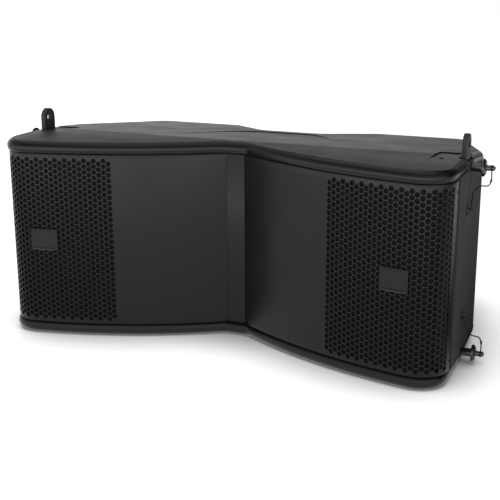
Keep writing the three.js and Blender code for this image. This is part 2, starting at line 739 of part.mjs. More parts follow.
function add(name, geometry, material, parent = lineArray) {
  const mesh = new THREE.Mesh(closed(geometry), material());
  mesh.name = name;
  parent.add(mesh);
  return mesh;
}

// A part drawn for the right-hand side, and its mirror image on the left.
function addPair(name, geometry, material) {
  add("right_" + name, geometry, material);
  add("left_" + name, mirroredX(geometry), material);
}

function addCabinet() {
  add("cabinet_shell", cabinetShell(), FINISH.shell);
  const cap = topEndCap();
  add("top_end_cap", cap, FINISH.cap);
  add("bottom_end_cap", mirroredZ(cap), FINISH.cap);
}

function addFront() {
  addPair("grille", grille(), FINISH.grille);
  addPair("grille_foam", grilleFoam(), FINISH.foam);
  addPair("badge", badge(), FINISH.badge);
  add("mouth_screen", mouthScreen(), FINISH.screen);
  add("waveguide_horn", waveguideHorn(), FINISH.horn);
  for (const [name, side] of [["upper", 1], ["lower", -1]]) {
    const driver = add(name + "_compression_driver", compressionDriver(), FINISH.steel);
    driver.position.set(0, 234 + GAP, MID_Z + side * 62);
  }
}

function addWoofers() {
  for (const [name, side] of [["right", 1], ["left", -1]]) {
    const place = wooferPlace(side);
    lineArray.add(place);
    add(name + "_woofer_basket", wooferBasket(), FINISH.steel, place);
    add(name + "_woofer_magnet", wooferMagnet(), FINISH.steel, place);
    add(name + "_woofer_surround", wooferSurround(), FINISH.rubber, place);
    add(name + "_woofer_cone", wooferCone(), FINISH.paper, place);
    add(name + "_woofer_dust_cap", wooferDustCap(), FINISH.paper, place);
    add(name + "_woofer_voice_coil", wooferVoiceCoil(), FINISH.copper, place);
  }
}

function addCrossover() {
  add("crossover_board", crossoverBoard(), FINISH.board);
  const components = [
    ["crossover_woofer_coil", crossoverCoil(26, 26), FINISH.copper, 172, 348],
    ["crossover_horn_coil", crossoverCoil(18, 18), FINISH.copper, 235, 368],
    ["crossover_capacitor", rod(12, "z", 0, 48, [0, 0], 20).rotateX(-Math.PI / 2), FINISH.plastic, 250, 320],
  ];
  for (const [name, geometry, material, x, y] of components) {
    const mesh = add(name, geometry, material);
    mesh.rotation.x = Math.PI / 2;
    mesh.position.set(x, y, BOARD.z + GAP);
  }
}

function addBack() {
  add("input_panel", inputPanel(), FINISH.plastic);
  add("input_connector", connector(CONNECTOR_Z[1]), FINISH.plastic);
  add("link_connector", connector(CONNECTOR_Z[0]), FINISH.plastic);
  addPair("handle_cup", handleCup(), FINISH.plastic);
  add("rear_splay_bracket", splayBracket(), FINISH.steel);
  add("rear_splay_arm", splayArm(), FINISH.steel);
  const place = new THREE.Group();
  place.rotation.z = -Math.PI / 2;
  place.position.set(splayPlane.thick / 2 + 3.6, SPLAY_Y, SPLAY_Z);
  lineArray.add(place);
  add("rear_lock_pin", lockPin(), FINISH.bright, place);
  add("rear_pin_button", pinButton(), FINISH.plastic, place);
}

function addSideRigging() {
  addPair("side_plate", sidePlate(), FINISH.steel);
  addPair("link_arm", linkArm(), FINISH.steel);
  for (const [level, up] of [["upper", 1], ["lower", -1]]) {
    const flip = (geometry) => (up > 0 ? geometry : mirroredZ(geometry));
    addPair(level + "_lanyard_anchor", flip(lanyardAnchor()), FINISH.steel);
    addPair(level + "_lanyard", flip(lanyard()), FINISH.rubber);
    for (const [name, side] of [["right", 1], ["left", -1]]) {
      const place = new THREE.Group();
      place.rotation.z = (-side * Math.PI) / 2;
      place.position.set(side * PIN.tip, LINK_Y, MID_Z + up * PIN_RISE);
      lineArray.add(place);
      add(`${name}_${level}_lock_pin`, lockPin(), FINISH.bright, place);
      add(`${name}_${level}_pin_button`, pinButton(), FINISH.plastic, place);
    }
  }
}

addCabinet();
addFront();
addWoofers();
addCrossover();
addBack();
addSideRigging();

export default lineArray;
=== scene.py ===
"""The looks of a line array speaker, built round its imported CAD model.

Shapes are worked out in millimetres in the plan the CAD source uses (x = 0 in the middle, y = 0 just behind the
foremost part of the front, z = 0 on the underside) and turned into metres in the row frame by in_frame().
"""

import math

import bmesh
import bpy
from mathutils import Matrix, Vector


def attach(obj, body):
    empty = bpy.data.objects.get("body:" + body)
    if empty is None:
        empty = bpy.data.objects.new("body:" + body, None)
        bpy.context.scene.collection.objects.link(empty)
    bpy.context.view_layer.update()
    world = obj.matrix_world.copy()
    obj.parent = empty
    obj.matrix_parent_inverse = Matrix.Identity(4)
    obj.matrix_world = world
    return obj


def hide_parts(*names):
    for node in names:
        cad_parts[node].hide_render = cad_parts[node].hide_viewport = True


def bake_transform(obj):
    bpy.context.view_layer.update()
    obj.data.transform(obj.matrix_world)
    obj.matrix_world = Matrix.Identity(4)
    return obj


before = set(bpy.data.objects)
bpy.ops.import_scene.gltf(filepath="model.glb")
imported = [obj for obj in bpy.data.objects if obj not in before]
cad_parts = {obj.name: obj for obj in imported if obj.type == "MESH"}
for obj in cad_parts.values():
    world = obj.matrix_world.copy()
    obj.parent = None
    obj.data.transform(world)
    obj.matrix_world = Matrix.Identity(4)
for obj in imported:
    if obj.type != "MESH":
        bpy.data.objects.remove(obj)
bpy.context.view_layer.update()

MM = 0.001
ORIGIN_Y = 241.52
HEIGHT = 354.0
MID_Z = HEIGHT / 2
SIDE_X = 404.0
CAP_BASE = 334.0
CAP_OVERHANG = 4.0
CAP_SIDE_INSET = 3.7
ROLL_WIDTH = 9.5
FOOT_HEIGHT = 8.0
WEDGE_Y = 137.0
WEDGE_SLOPE = math.tan(math.radians(5.5))
MOUTH_Y = 116.0
WING_R = 856.0
WING_X, WING_Y = 483.8, 837.5
CORNER_R = 50.0
CORNER_X = SIDE_X - CORNER_R
CORNER_Y = WING_Y - math.sqrt((WING_R - CORNER_R) ** 2 - (WING_X - CORNER_X) ** 2)
CORNER_START = math.atan2(CORNER_Y - WING_Y, CORNER_X - WING_X)
VALLEY_R = 30.0
CHAMFER_Y = 252.0
REAR_Y = 491.0
REAR_CORNER_X = SIDE_X - (REAR_Y - CHAMFER_Y) * math.tan(math.radians(17.5))
RECESS_X, RECESS_Y = 58.0, 401.0
RAMP_X = RECESS_X + REAR_Y - RECESS_Y
LINK_Y = 141.5
PIN_TIP_X = 399.6
PIN_RISE = 159.0
PIN_HOLE_R = 7.5
PIN_TIP_ROOM = 13.3
ANCHOR_Y, ANCHOR_RISE = 126.0, 90.5
SIDES = (("right", 1), ("left", -1))
LEVELS = (("upper", 1), ("lower", -1))


def in_frame(x, y, z):
    return Vector((x * MM, (y - ORIGIN_Y) * MM, z * MM))


# ------------------------------------------------------------------ materials


class Surface:
    """A material under construction: one Principled BSDF and the textures that feed it."""

    def __init__(self, name, color, roughness, metallic=0.0, specular=0.5):
        self.material = bpy.data.materials.new(name)
        self.material.use_nodes = True
        self.tree = self.material.node_tree
        self.tree.nodes.clear()
        self.output = self.node("ShaderNodeOutputMaterial")
        self.bsdf = self.node("ShaderNodeBsdfPrincipled")
        self.tree.links.new(self.bsdf.outputs[0], self.output.inputs[0])
        self.bsdf.inputs["Metallic"].default_value = metallic
        self.bsdf.inputs["Specular IOR Level"].default_value = specular
        self.bsdf.inputs["Base Color"].default_value = (*color, 1)
        self.bsdf.inputs["Roughness"].default_value = roughness
        self.color = None
        self.base = (*color, 1)
        self.roughness = roughness
        self.height = None
        self.coordinates = self.node("ShaderNodeTexCoord").outputs["Object"]

    def node(self, kind, **settings):
        made = self.tree.nodes.new(kind)
        for key, value in settings.items():
            setattr(made, key, value)
        return made

    def link(self, a, b):
        self.tree.links.new(a, b)

    def stretched(self, scale):
        mapping = self.node("ShaderNodeMapping")
        mapping.inputs["Scale"].default_value = scale
        self.link(self.coordinates, mapping.inputs["Vector"])
        return mapping.outputs["Vector"]

    def noise(self, scale, detail=4.0, roughness=0.6, stretch=(1, 1, 1)):
        noise = self.node("ShaderNodeTexNoise")
        self.link(self.stretched(stretch), noise.inputs["Vector"])
        noise.inputs["Scale"].default_value = scale
        noise.inputs["Detail"].default_value = detail
        noise.inputs["Roughness"].default_value = roughness
        return noise.outputs["Fac"]

    def cells(self, scale, feature="F1"):
        cells = self.node("ShaderNodeTexVoronoi", feature=feature)
        self.link(self.coordinates, cells.inputs["Vector"])
        cells.inputs["Scale"].default_value = scale
        return cells.outputs["Distance"]

    def ramp(self, value, low, high, from_value=0.0, to_value=1.0):
        mapped = self.node("ShaderNodeMapRange")
        self.link(value, mapped.inputs["Value"])
        for name, number in (
            ("From Min", low),
            ("From Max", high),
            ("To Min", from_value),
            ("To Max", to_value),
        ):
            mapped.inputs[name].default_value = number
        return mapped.outputs[0]

    def product(self, a, b):
        product = self.node("ShaderNodeMath", operation="MULTIPLY")
        self.link(a, product.inputs[0])
        self.link(b, product.inputs[1])
        return product.outputs[0]

    def tint(self, mask, color):
        """Shows another colour where the mask is 1."""
        mix = self.node("ShaderNodeMix", data_type="RGBA")
        self.link(mask, mix.inputs["Factor"])
        if self.color is None:
            mix.inputs["A"].default_value = self.base
        else:
            self.link(self.color, mix.inputs["A"])
        mix.inputs["B"].default_value = (*color, 1)
        self.color = mix.outputs["Result"]
        self.link(self.color, self.bsdf.inputs["Base Color"])

    def vary_roughness(self, mask, amount):
        low, high = self.roughness - amount, self.roughness + amount
        self.link(self.ramp(mask, 0.3, 0.7, low, high), self.bsdf.inputs["Roughness"])

    def bump(self, height, distance, strength=1.0):
        bump = self.node("ShaderNodeBump")
        bump.inputs["Distance"].default_value = distance
        bump.inputs["Strength"].default_value = strength
        self.link(height, bump.inputs["Height"])
        if self.height is not None:
            self.link(self.height, bump.inputs["Normal"])
        self.height = bump.outputs["Normal"]
        self.link(self.height, self.bsdf.inputs["Normal"])

    def edge_mask(self, radius, noise_scale):
        """1 along convex edges, broken up by noise."""
        bevel = self.node("ShaderNodeBevel", samples=4)
        bevel.inputs["Radius"].default_value = radius
        geometry = self.node("ShaderNodeNewGeometry")
        dot = self.node("ShaderNodeVectorMath", operation="DOT_PRODUCT")
        self.link(bevel.outputs["Normal"], dot.inputs[0])
        self.link(geometry.outputs["Normal"], dot.inputs[1])
        edge = self.ramp(dot.outputs["Value"], 0.985, 0.9)
        product = self.node("ShaderNodeMath", operation="MULTIPLY", use_clamp=True)
        self.link(edge, product.inputs[0])
        self.link(self.ramp(self.noise(noise_scale, 6, 0.7), 0.48, 0.62), product.inputs[1])
        return product.outputs[0]


def grey(level, warmth=0.0):
    """The linear colour of an sRGB grey between 0 and 255."""
    value = (level / 255 / 1.055 + 0.0521) ** 2.4
    return value * (1 + warmth), value, value * (1 - warmth)


def cap_material():
    """Finely textured on the flat top and bottom; smoother on the rolled rim, whose darker colour is painted
    shade.
    """
    s = Surface("cap_moulded_polyurethane", grey(30), 0.5, specular=0.38)
    s.tint(s.ramp(s.noise(9, 5), 0.42, 0.75, 0, 0.5), grey(37))
    s.tint(s.ramp(s.noise(60, 4, 0.7, (1, 1, 0.2)), 0.62, 0.8, 0, 0.35), grey(46))
    geometry = s.node("ShaderNodeNewGeometry")
    parts = s.node("ShaderNodeSeparateXYZ")
    s.link(geometry.outputs["Normal"], parts.inputs[0])
    upright = s.node("ShaderNodeMath", operation="ABSOLUTE")
    s.link(parts.outputs["Z"], upright.inputs[0])
    rim = s.ramp(upright.outputs[0], 0.975, 0.94)
    # the rim's darker colour is painted shade that follows where the surface faces sideways; its lower
    # roughness and specular are the finish
    s.tint(rim, grey(12))
    rough = s.ramp(s.noise(14, 4), 0.3, 0.7, 0.43, 0.55)
    mix = s.node("ShaderNodeMix", data_type="FLOAT")
    s.link(rim, mix.inputs["Factor"])
    s.link(rough, mix.inputs["A"])
    mix.inputs["B"].default_value = 0.24
    s.link(mix.outputs["Result"], s.bsdf.inputs["Roughness"])
    s.link(s.ramp(rim, 0, 1, 0.4, 0.24), s.bsdf.inputs["Specular IOR Level"])
    s.bump(s.noise(900, 3), 0.00010, 0.45)
    s.bump(s.cells(420), 0.00006, 0.25)
    return s.material


def sheet_material():
    s = Surface("sheet_powder_coat", grey(8), 0.3, specular=0.22)
    s.tint(s.ramp(s.noise(6, 4), 0.35, 0.7, 0, 0.4), grey(12))
    s.tint(s.ramp(s.noise(1400, 2), 0.6, 0.75, 0, 0.35), grey(22))
    s.vary_roughness(s.noise(11, 4), 0.05)
    s.bump(s.noise(1100, 3), 0.00006, 0.4)
    return s.material


def screen_material():
    s = Surface("screen_powder_coat", grey(8), 0.32, specular=0.22)
    s.tint(s.ramp(s.noise(8, 4), 0.35, 0.7, 0, 0.4), grey(12))
    s.vary_roughness(s.noise(11, 4), 0.05)
    s.bump(s.noise(1100, 3), 0.00008, 0.45)
    return s.material


def shell_material():
    s = Surface("shell_textured_paint", grey(54), 0.75, specular=0.12)
    s.tint(s.ramp(s.noise(12, 5), 0.4, 0.75, 0, 0.5), grey(61))
    s.tint(s.ramp(s.noise(700, 3), 0.58, 0.72, 0, 0.4), grey(76))
    s.vary_roughness(s.noise(18, 4), 0.07)
    s.bump(s.cells(330), 0.0002, 0.55)
    s.bump(s.noise(900, 3), 0.00012, 0.4)
    return s.material


def steel_paint_material():
    s = Surface("rigging_powder_coat", grey(58), 0.72, specular=0.1)
    s.tint(s.ramp(s.noise(25, 5), 0.4, 0.75, 0, 0.5), grey(66))
    s.tint(s.edge_mask(0.0012, 90), grey(95))
    s.vary_roughness(s.noise(30, 4), 0.08)
    s.bump(s.noise(800, 3), 0.0001, 0.5)
    return s.material


def worn_steel_material():
    s = Surface("link_worn_powder_coat", grey(44), 0.55, specular=0.25)
    s.tint(s.ramp(s.noise(25, 5), 0.4, 0.75, 0, 0.5), grey(52))
    s.tint(s.ramp(s.noise(90, 5, 0.7, (1, 1, 0.15)), 0.58, 0.72, 0, 0.5), grey(70))
    s.tint(s.edge_mask(0.0012, 90), grey(120))
    s.vary_roughness(s.noise(30, 4), 0.08)
    s.bump(s.noise(800, 3), 0.0001, 0.5)
    return s.material


def turned_steel_material():
    s = Surface("turned_stainless", grey(84, 0.01), 0.16, metallic=1.0)
    turning = s.noise(240, 3, 0.6, (9, 0.6, 0.6))
    s.tint(s.ramp(turning, 0.35, 0.7, 0, 0.5), grey(62, 0.01))
    s.vary_roughness(turning, 0.08)
    s.bump(turning, 0.00006, 0.5)
    return s.material


def black_plastic_material():
    s = Surface("moulded_black_plastic", grey(26), 0.5, specular=0.45)
    s.tint(s.ramp(s.noise(30, 4), 0.4, 0.75, 0, 0.5), grey(34))
    s.vary_roughness(s.noise(45, 4), 0.08)
    s.bump(s.noise(1300, 2), 0.00008, 0.5)
    return s.material


def button_material():
    s = Surface("button_anodised", grey(58), 0.3, metallic=0.8)
    s.tint(s.ramp(s.noise(300, 3), 0.4, 0.75, 0, 0.5), grey(84))
    s.vary_roughness(s.noise(200, 3), 0.08)
    s.bump(s.noise(900, 3), 0.00005, 0.4)
    return s.material


def cable_material():
    s = Surface("coated_cable", grey(22), 0.45, specular=0.3)
    s.tint(s.ramp(s.noise(400, 3), 0.45, 0.7, 0, 0.6), grey(44))
    s.vary_roughness(s.noise(300, 3), 0.1)
    s.bump(s.noise(1800, 2), 0.00008, 0.5)
    return s.material


def foam_material():
    s = Surface("open_cell_foam", grey(30), 0.95, specular=0.05)
    s.tint(s.ramp(s.cells(700), 0.1, 0.6, 0, 0.8), grey(17))
    s.bump(s.cells(700), 0.0006, 1.0)
    s.bump(s.noise(1500, 3), 0.0003, 0.6)
    return s.material


def paper_material():
    s = Surface("treated_paper", grey(24), 0.85, specular=0.2)
    s.tint(s.ramp(s.noise(500, 4, 0.7), 0.45, 0.7, 0, 0.6), grey(38))
    s.bump(s.noise(600, 4), 0.0003, 0.7)
    return s.material


def rubber_material():
    s = Surface("surround_rubber", grey(18), 0.7, specular=0.3)
    s.tint(s.ramp(s.noise(80, 4), 0.4, 0.7, 0, 0.5), grey(26))
    s.bump(s.noise(900, 2), 0.0001, 0.5)
    return s.material


def iron_material():
    s = Surface("lacquered_iron", grey(34), 0.4, metallic=0.4)
    s.tint(s.ramp(s.noise(60, 5), 0.45, 0.7, 0, 0.5), grey(52))
    s.vary_roughness(s.noise(90, 4), 0.1)
    s.bump(s.noise(300, 3), 0.0003, 0.4)
    return s.material


def copper_material():
    s = Surface("enamelled_copper", (0.45, 0.15, 0.06), 0.3, metallic=0.95)
    windings = s.node("ShaderNodeTexWave", wave_type="BANDS", bands_direction="Z")
    s.link(s.coordinates, windings.inputs["Vector"])
    windings.inputs["Scale"].default_value = 260
    s.tint(s.ramp(windings.outputs["Fac"], 0.0, 0.4, 0.6, 0), (0.16, 0.05, 0.02))
    s.bump(windings.outputs["Fac"], 0.0004, 0.8)
    return s.material


def board_material():
    s = Surface("circuit_board", (0.02, 0.09, 0.04), 0.35)
    s.tint(s.ramp(s.cells(260, "DISTANCE_TO_EDGE"), 0.02, 0.0), (0.04, 0.18, 0.08))
    s.bump(s.noise(700, 3), 0.0001, 0.4)
    return s.material


def badge_material():
    s = Surface("badge_satin_metal", grey(10), 0.38, specular=0.24)
    brushed = s.noise(500, 3, 0.6, (0.15, 1, 1.6))
    s.tint(s.ramp(brushed, 0.4, 0.7, 0, 0.6), grey(18))
    s.vary_roughness(brushed, 0.08)
    s.bump(brushed, 0.00005, 0.4)
    return s.material


def floor_material():
    """White and faintly glossy. Its glow is painted light, stronger towards the front; to the camera it fades
    near the object as a painted contact shadow, and reflections see a grey patch at the right as painted shade.
    """
    s = Surface("floor_paper", grey(252), 0.3, specular=0.25)
    s.tint(s.ramp(s.noise(1.5, 3), 0.4, 0.8, 0, 0.2), grey(248))
    s.vary_roughness(s.noise(3, 3), 0.05)
    s.bump(s.noise(300, 2), 0.0001, 0.05)
    parts = s.node("ShaderNodeSeparateXYZ")
    s.link(s.coordinates, parts.inputs[0])
    open_sky = s.node("ShaderNodeAmbientOcclusion", samples=8)
    open_sky.inputs["Distance"].default_value = 0.14
    seen = s.node("ShaderNodeLightPath").outputs["Is Camera Ray"]
    # painted shade: a grey patch at the right that only reflections see, where the floor also has no glow
    painted_reflected_shade = s.product(s.ramp(parts.outputs["X"], 0.25, 0.38), s.ramp(parts.outputs["X"], 0.9, 0.65))
    painted_reflected_shade = s.product(painted_reflected_shade, s.ramp(parts.outputs["Y"], -0.25, 0.0))
    painted_reflected_shade = s.product(painted_reflected_shade, s.ramp(seen, 0, 1, 1, 0))
    s.tint(painted_reflected_shade, grey(90))
    # the floor's glow is painted light, stronger towards the front
    glow = s.node("ShaderNodeMath", operation="MULTIPLY")
    lit = s.product(s.ramp(parts.outputs["Y"], -1.3, -1.8, 0.62, 4.2), s.ramp(painted_reflected_shade, 0, 1, 1, 0))
    s.link(lit, glow.inputs[0])
    # painted contact shadow: to the camera the glow fades where the object stands near
    near = s.product(seen, s.ramp(open_sky.outputs["AO"], 0.4, 0.85, -1, 0))
    s.link(s.ramp(near, -1, 0, 0, 1), glow.inputs[1])
    s.link(glow.outputs[0], s.bsdf.inputs["Emission Strength"])
    s.bsdf.inputs["Emission Color"].default_value = (1, 1, 1, 1)
    return s.material


CAP = cap_material()
SHEET = sheet_material()
SCREEN = screen_material()
SHELL = shell_material()
STEEL = steel_paint_material()
WORN = worn_steel_material()
BRIGHT = turned_steel_material()
PLASTIC = black_plastic_material()
BUTTON = button_material()
CABLE = cable_material()
FOAM = foam_material()
PAPER = paper_material()
RUBBER = rubber_material()
IRON = iron_material()
COPPER = copper_material()
BOARD = board_material()
BADGE = badge_material()

# ------------------------------------------------------------------ mesh helpers


def shade(mesh, sharp_degrees):
    mesh.polygons.foreach_set("use_smooth", [True] * len(mesh.polygons))
    mesh.set_sharp_from_angle(angle=math.radians(sharp_degrees))


def piece(name, vertices, faces, material, body, slot, stands_for=(), sharp=30, mirror_x=False):
    """A named piece from points in the plan's millimetres."""
    if mirror_x:
        vertices = [(-x, y, z) for x, y, z in vertices]
        faces = [tuple(reversed(face)) for face in faces]
    mesh = bpy.data.meshes.new(name)
    mesh.from_pydata([in_frame(*v) for v in vertices], [], faces)
    mesh.validate()
    mesh.materials.append(material)
    shade(mesh, sharp)
    made = bpy.data.objects.new(name, mesh)
    bpy.context.scene.collection.objects.link(made)
    if body is not None:
        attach(made, body)
    if stands_for:
        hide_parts(*stands_for)
    return made


def mirrored_z(vertices, faces):
    return [(x, y, HEIGHT - z) for x, y, z in vertices], [tuple(reversed(f)) for f in faces]


def joined(*parts):
    """Several (vertices, faces) pairs as one."""
    vertices, faces = [], []
    for more_vertices, more_faces in parts:
        start = len(vertices)
        vertices += more_vertices
        faces += [tuple(i + start for i in face) for face in more_faces]
    return vertices, faces


def rings(ring_list, close_start=True, close_end=True):
    """A skin through rings with the same number of points each; a ring of one point is a pole."""
    vertices, faces, starts = [], [], []
    for ring in ring_list:
        starts.append(len(vertices))
        vertices += ring
    for (a, ring_a), (b, ring_b) in zip(
        list(zip(starts, ring_list))[:-1], list(zip(starts, ring_list))[1:]
    ):
        n = max(len(ring_a), len(ring_b))
        for i in range(n):
            j = (i + 1) % n
            if len(ring_a) == 1:
                faces.append((a, b + j, b + i))
            elif len(ring_b) == 1:
                faces.append((a + i, a + j, b))
            else:
                faces.append((a + i, a + j, b + j, b + i))
    if close_start and len(ring_list[0]) > 1:
        faces.append(tuple(reversed(range(starts[0], starts[0] + len(ring_list[0])))))
    if close_end and len(ring_list[-1]) > 1:
        faces.append(tuple(range(starts[-1], starts[-1] + len(ring_list[-1]))))
    return vertices, faces


def lathe(profile, place, segments=40, radius_at=None):
    """Turns (distance along, radius) pairs about an axis; place(along, u, v) gives the point in the plan."""
    ring_list = []
    for step, (along, radius) in enumerate(profile):
        if radius < 1e-6:
            ring_list.append([place(along, 0, 0)])
            continue
        ring = []
        for i in range(segments):
            angle = 2 * math.pi * i / segments
            r = radius_at(step, radius, angle) if radius_at else radius
            ring.append(place(along, r * math.cos(angle), r * math.sin(angle)))
        ring_list.append(ring)
    return rings(ring_list)


def apply_modifiers(target):
    graph = bpy.context.evaluated_depsgraph_get()
    mesh = bpy.data.meshes.new_from_object(target.evaluated_get(graph))
    old = target.data
    target.modifiers.clear()
    target.data = mesh
    bpy.data.meshes.remove(old)


def cut(target, cutters):
    """Takes the cutters out of the target and deletes them."""
    for cutter in cutters:
        modifier = target.modifiers.new("cut", "BOOLEAN")
        modifier.operation = "DIFFERENCE"
        modifier.solver = "EXACT"
        modifier.object = cutter
    apply_modifiers(target)
    for cutter in cutters:
        bpy.data.objects.remove(cutter)


# ------------------------------------------------------------------ the cabinet's plan


def arc(cx, cy, r, start, end, steps, side=1):
    """Points (x, y, nx, ny) with their outward directions; side is -1 in a hollow."""
    points = []
    for i in range(steps + 1):
        angle = start + (end - start) * i / steps
        nx, ny = math.cos(angle), math.sin(angle)
        points.append((cx + r * nx, cy + r * ny, side * nx, side * ny))
    return points


def rounded(a, b, c, r, steps):
    a, b, c = Vector(a), Vector(b), Vector(c)
    u, v = (a - b).normalized(), (c - b).normalized()
    half = math.acos(max(-1, min(1, u.dot(v)))) / 2
    centre = b + (u + v).normalized() * (r / math.sin(half))
    reach = r / math.tan(half)
    first, last = b + u * reach - centre, b + v * reach - centre
    start, end = math.atan2(first.y, first.x), math.atan2(last.y, last.x)
    sweep = math.atan2(math.sin(end - start), math.cos(end - start))
    return arc(centre.x, centre.y, r, start, start + sweep, steps, math.copysign(1, sweep))


def wing_from(x, wing_steps):
    start = -math.acos((x - WING_X) / WING_R)
    corner = arc(CORNER_X, CORNER_Y, CORNER_R, CORNER_START, 0, 20)
    return arc(WING_X, WING_Y, WING_R, start, CORNER_START, wing_steps) + corner[1:]


def rear_half():
    side, chamfer = (SIDE_X, 0), (SIDE_X, CHAMFER_Y)
    corner, ramp_top = (REAR_CORNER_X, REAR_Y), (RAMP_X, REAR_Y)
    ramp_foot, middle = (RECESS_X, RECESS_Y), (0, RECESS_Y)
    return (
        rounded(side, chamfer, corner, 60, 8)
        + rounded(chamfer, corner, ramp_top, 35, 16)
        + rounded(corner, ramp_top, ramp_foot, 25, 10)
        + rounded(ramp_top, ramp_foot, middle, 30, 10)
    )


def wall_outline():
    valley_y = MOUTH_Y - VALLEY_R
    valley_x = WING_X - math.sqrt((WING_R + VALLEY_R) ** 2 - (WING_Y - valley_y) ** 2)
    meet = math.atan2(WING_Y - valley_y, WING_X - valley_x)
    half = (
        arc(valley_x, valley_y, VALLEY_R, math.pi / 2, meet, 8, -1)[:-1]
        + wing_from(valley_x + VALLEY_R * math.cos(meet), 40)
        + rear_half()
    )
    return half + [(-x, y, -nx, ny) for x, y, nx, ny in reversed(half)]


def wedge(y):
    return max(0.0, y - WEDGE_Y) * WEDGE_SLOPE


# ------------------------------------------------------------------ end caps


def slope_rear(bm, y_line):
    """Cuts a straight-sided solid at the wedge line and lowers everything behind it."""
    geometry = bm.verts[:] + bm.edges[:] + bm.faces[:]
    bmesh.ops.bisect_plane(bm, geom=geometry, plane_co=(0, y_line, 0), plane_no=(0, 1, 0), dist=1e-6)
    for v in bm.verts:
        v.co.z -= wedge(v.co.y)


def cap_rings():
    """The rim's section from the foot up: a small round, a wide roll and a crease where the roll ends."""
    crease = math.radians(72)
    round_width = ROLL_WIDTH / (1 - math.cos(crease))
    round_height = (HEIGHT - CAP_BASE - FOOT_HEIGHT) / math.sin(crease)
    section = [(-8.0, CAP_BASE), (0.5, CAP_BASE)]
    for i in range(1, 6):
        angle = math.radians(90 * i / 5)
        section.append((0.5 + 3.5 * math.sin(angle), CAP_BASE + FOOT_HEIGHT * (1 - math.cos(angle))))
    for i in range(0, 16):
        angle = crease * i / 15.5
        section.append(
            (
                CAP_OVERHANG - round_width * (1 - math.cos(angle)),
                CAP_BASE + FOOT_HEIGHT + round_height * math.sin(angle),
            )
        )
    section.append((CAP_OVERHANG - ROLL_WIDTH - 0.3, HEIGHT))
    return section


def pocket_cutter(outline, start_y, slope):
    n = len(outline)
    low = [(x, y, HEIGHT - (y - start_y) * slope) for x, y in outline]
    high = [(x, y, HEIGHT + 20) for x, y in outline]
    vertices, faces = rings([low, high])
    return piece("cutter", vertices, faces, CAP, None, None)


def block_cutter(x0, x1, y0, y1, z0, z1):
    low = [(x0, y0, z0), (x1, y0, z0), (x1, y1, z0), (x0, y1, z0)]
    vertices, faces = rings([low, [(x, y, z1) for x, y, _ in low]])
    return piece("cutter", vertices, faces, CAP, None, None)


def pin_tip_cutter(start_x):
    """Room for a lock pin's tip, which goes through the link arm and into the cap."""
    along = [0, PIN_TIP_ROOM]
    profile = [(along[0], 0), (along[0], PIN_HOLE_R), (along[1], PIN_HOLE_R), (along[1], 0)]
    vertices, faces = lathe(profile, along_x(start_x, LINK_Y, MID_Z + PIN_RISE))
    return piece("cutter", vertices, faces, CAP, None, None)


def rounded_outline(corners, r, steps=4):
    outline = []
    for i, corner in enumerate(corners):
        before, after = corners[i - 1], corners[(i + 1) % len(corners)]
        outline += [(x, y) for x, y, _, _ in rounded(before, corner, after, r, steps)]
    return outline


def cap_solid():
    outline = [(x - CAP_SIDE_INSET * nx**5, y, nx, ny) for x, y, nx, ny in wall_outline()]
    loops = [[(x + nx * d, y + ny * d, z) for x, y, nx, ny in outline] for d, z in cap_rings()]
    vertices, faces = rings(loops)
    bm = bmesh.new()
    made = [bm.verts.new(v) for v in vertices]
    for face in faces:
        bm.faces.new([made[i] for i in face])
    slope_rear(bm, WEDGE_Y)
    bm.verts.index_update()
    vertices = [tuple(v.co) for v in bm.verts]
    faces = [tuple(v.index for v in f.verts) for f in bm.faces]
    bm.free()
    return vertices, faces


def add_cap(name, underneath):
    vertices, faces = cap_solid()
    made = piece(name, vertices, faces, CAP, None, None)
    right_edge = [(135, 175), (135, 235), (118, 280), (94, 322), (58, 363)]
    corners = right_edge + [(-x, y) for x, y in reversed(right_edge)]
    cutters = [pocket_cutter(rounded_outline(corners, 10), 141, 0.1052)]
    cutters.append(block_cutter(385.3, 430, 122, 161, CAP_BASE - 8, HEIGHT + 10))
    cutters.append(block_cutter(-430, -385.3, 122, 161, CAP_BASE - 8, HEIGHT + 10))
    cutters.append(pin_tip_cutter(377))
    cutters.append(pin_tip_cutter(-377 - PIN_TIP_ROOM))
    link = rounded_outline([(345, 88), (430, 88), (430, 180), (345, 180)], 5)
    cutters.append(pocket_cutter(link, 88, 0.0667))
    cutters.append(pocket_cutter([(-x, y) for x, y in reversed(link)], 88, 0.0667))
    cut(made, cutters)
    mesh = made.data
    if underneath:
        for v in mesh.vertices:
            v.co.z = HEIGHT * MM - v.co.z
        mesh.flip_normals()
    bevel = made.modifiers.new("edges", "BEVEL")
    bevel.width = 0.5 * MM
    bevel.segments = 2
    bevel.limit_method = "ANGLE"
    bevel.angle_limit = math.radians(55)
    apply_modifiers(made)
    finish_cap(made)
    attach(made, "cabinet")
    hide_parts(name)
    return made


def finish_cap(made):
    """Smooth rolls, but the creases and the line where the wedge starts stay crisp."""
    mesh = made.data
    shade(mesh, 14)
    bm = bmesh.new()
    bm.from_mesh(mesh)
    line = (WEDGE_Y - ORIGIN_Y) * MM
    for edge in bm.edges:
        on_line = all(abs(v.co.y - line) < 1e-5 for v in edge.verts)
        level = all(abs(f.normal.z) > 0.985 for f in edge.link_faces)
        if on_line and level:
            edge.smooth = False
    bm.to_mesh(mesh)
    bm.free()


# ------------------------------------------------------------------ perforated sheets

PITCH = 10.0
COLUMN_STEP = PITCH * math.cos(math.radians(30))
HOLE_R = 4.3
COLUMNS = 26
FIRST_COLUMN_X = 202.0
SHEET_THICK = 2.0
SHEET_LOW, SHEET_HIGH = 21.0, HEIGHT - 21.0
SHEET_INNER_X = 17.4
SHEET_REAR_Y = 44.5
WING_START = -math.acos((SHEET_INNER_X - WING_X) / WING_R)
WING_LENGTH = WING_R * (CORNER_START - WING_START)
CORNER_LENGTH = -CORNER_R * CORNER_START
SHEET_LENGTH = WING_LENGTH + CORNER_LENGTH + SHEET_REAR_Y - CORNER_Y


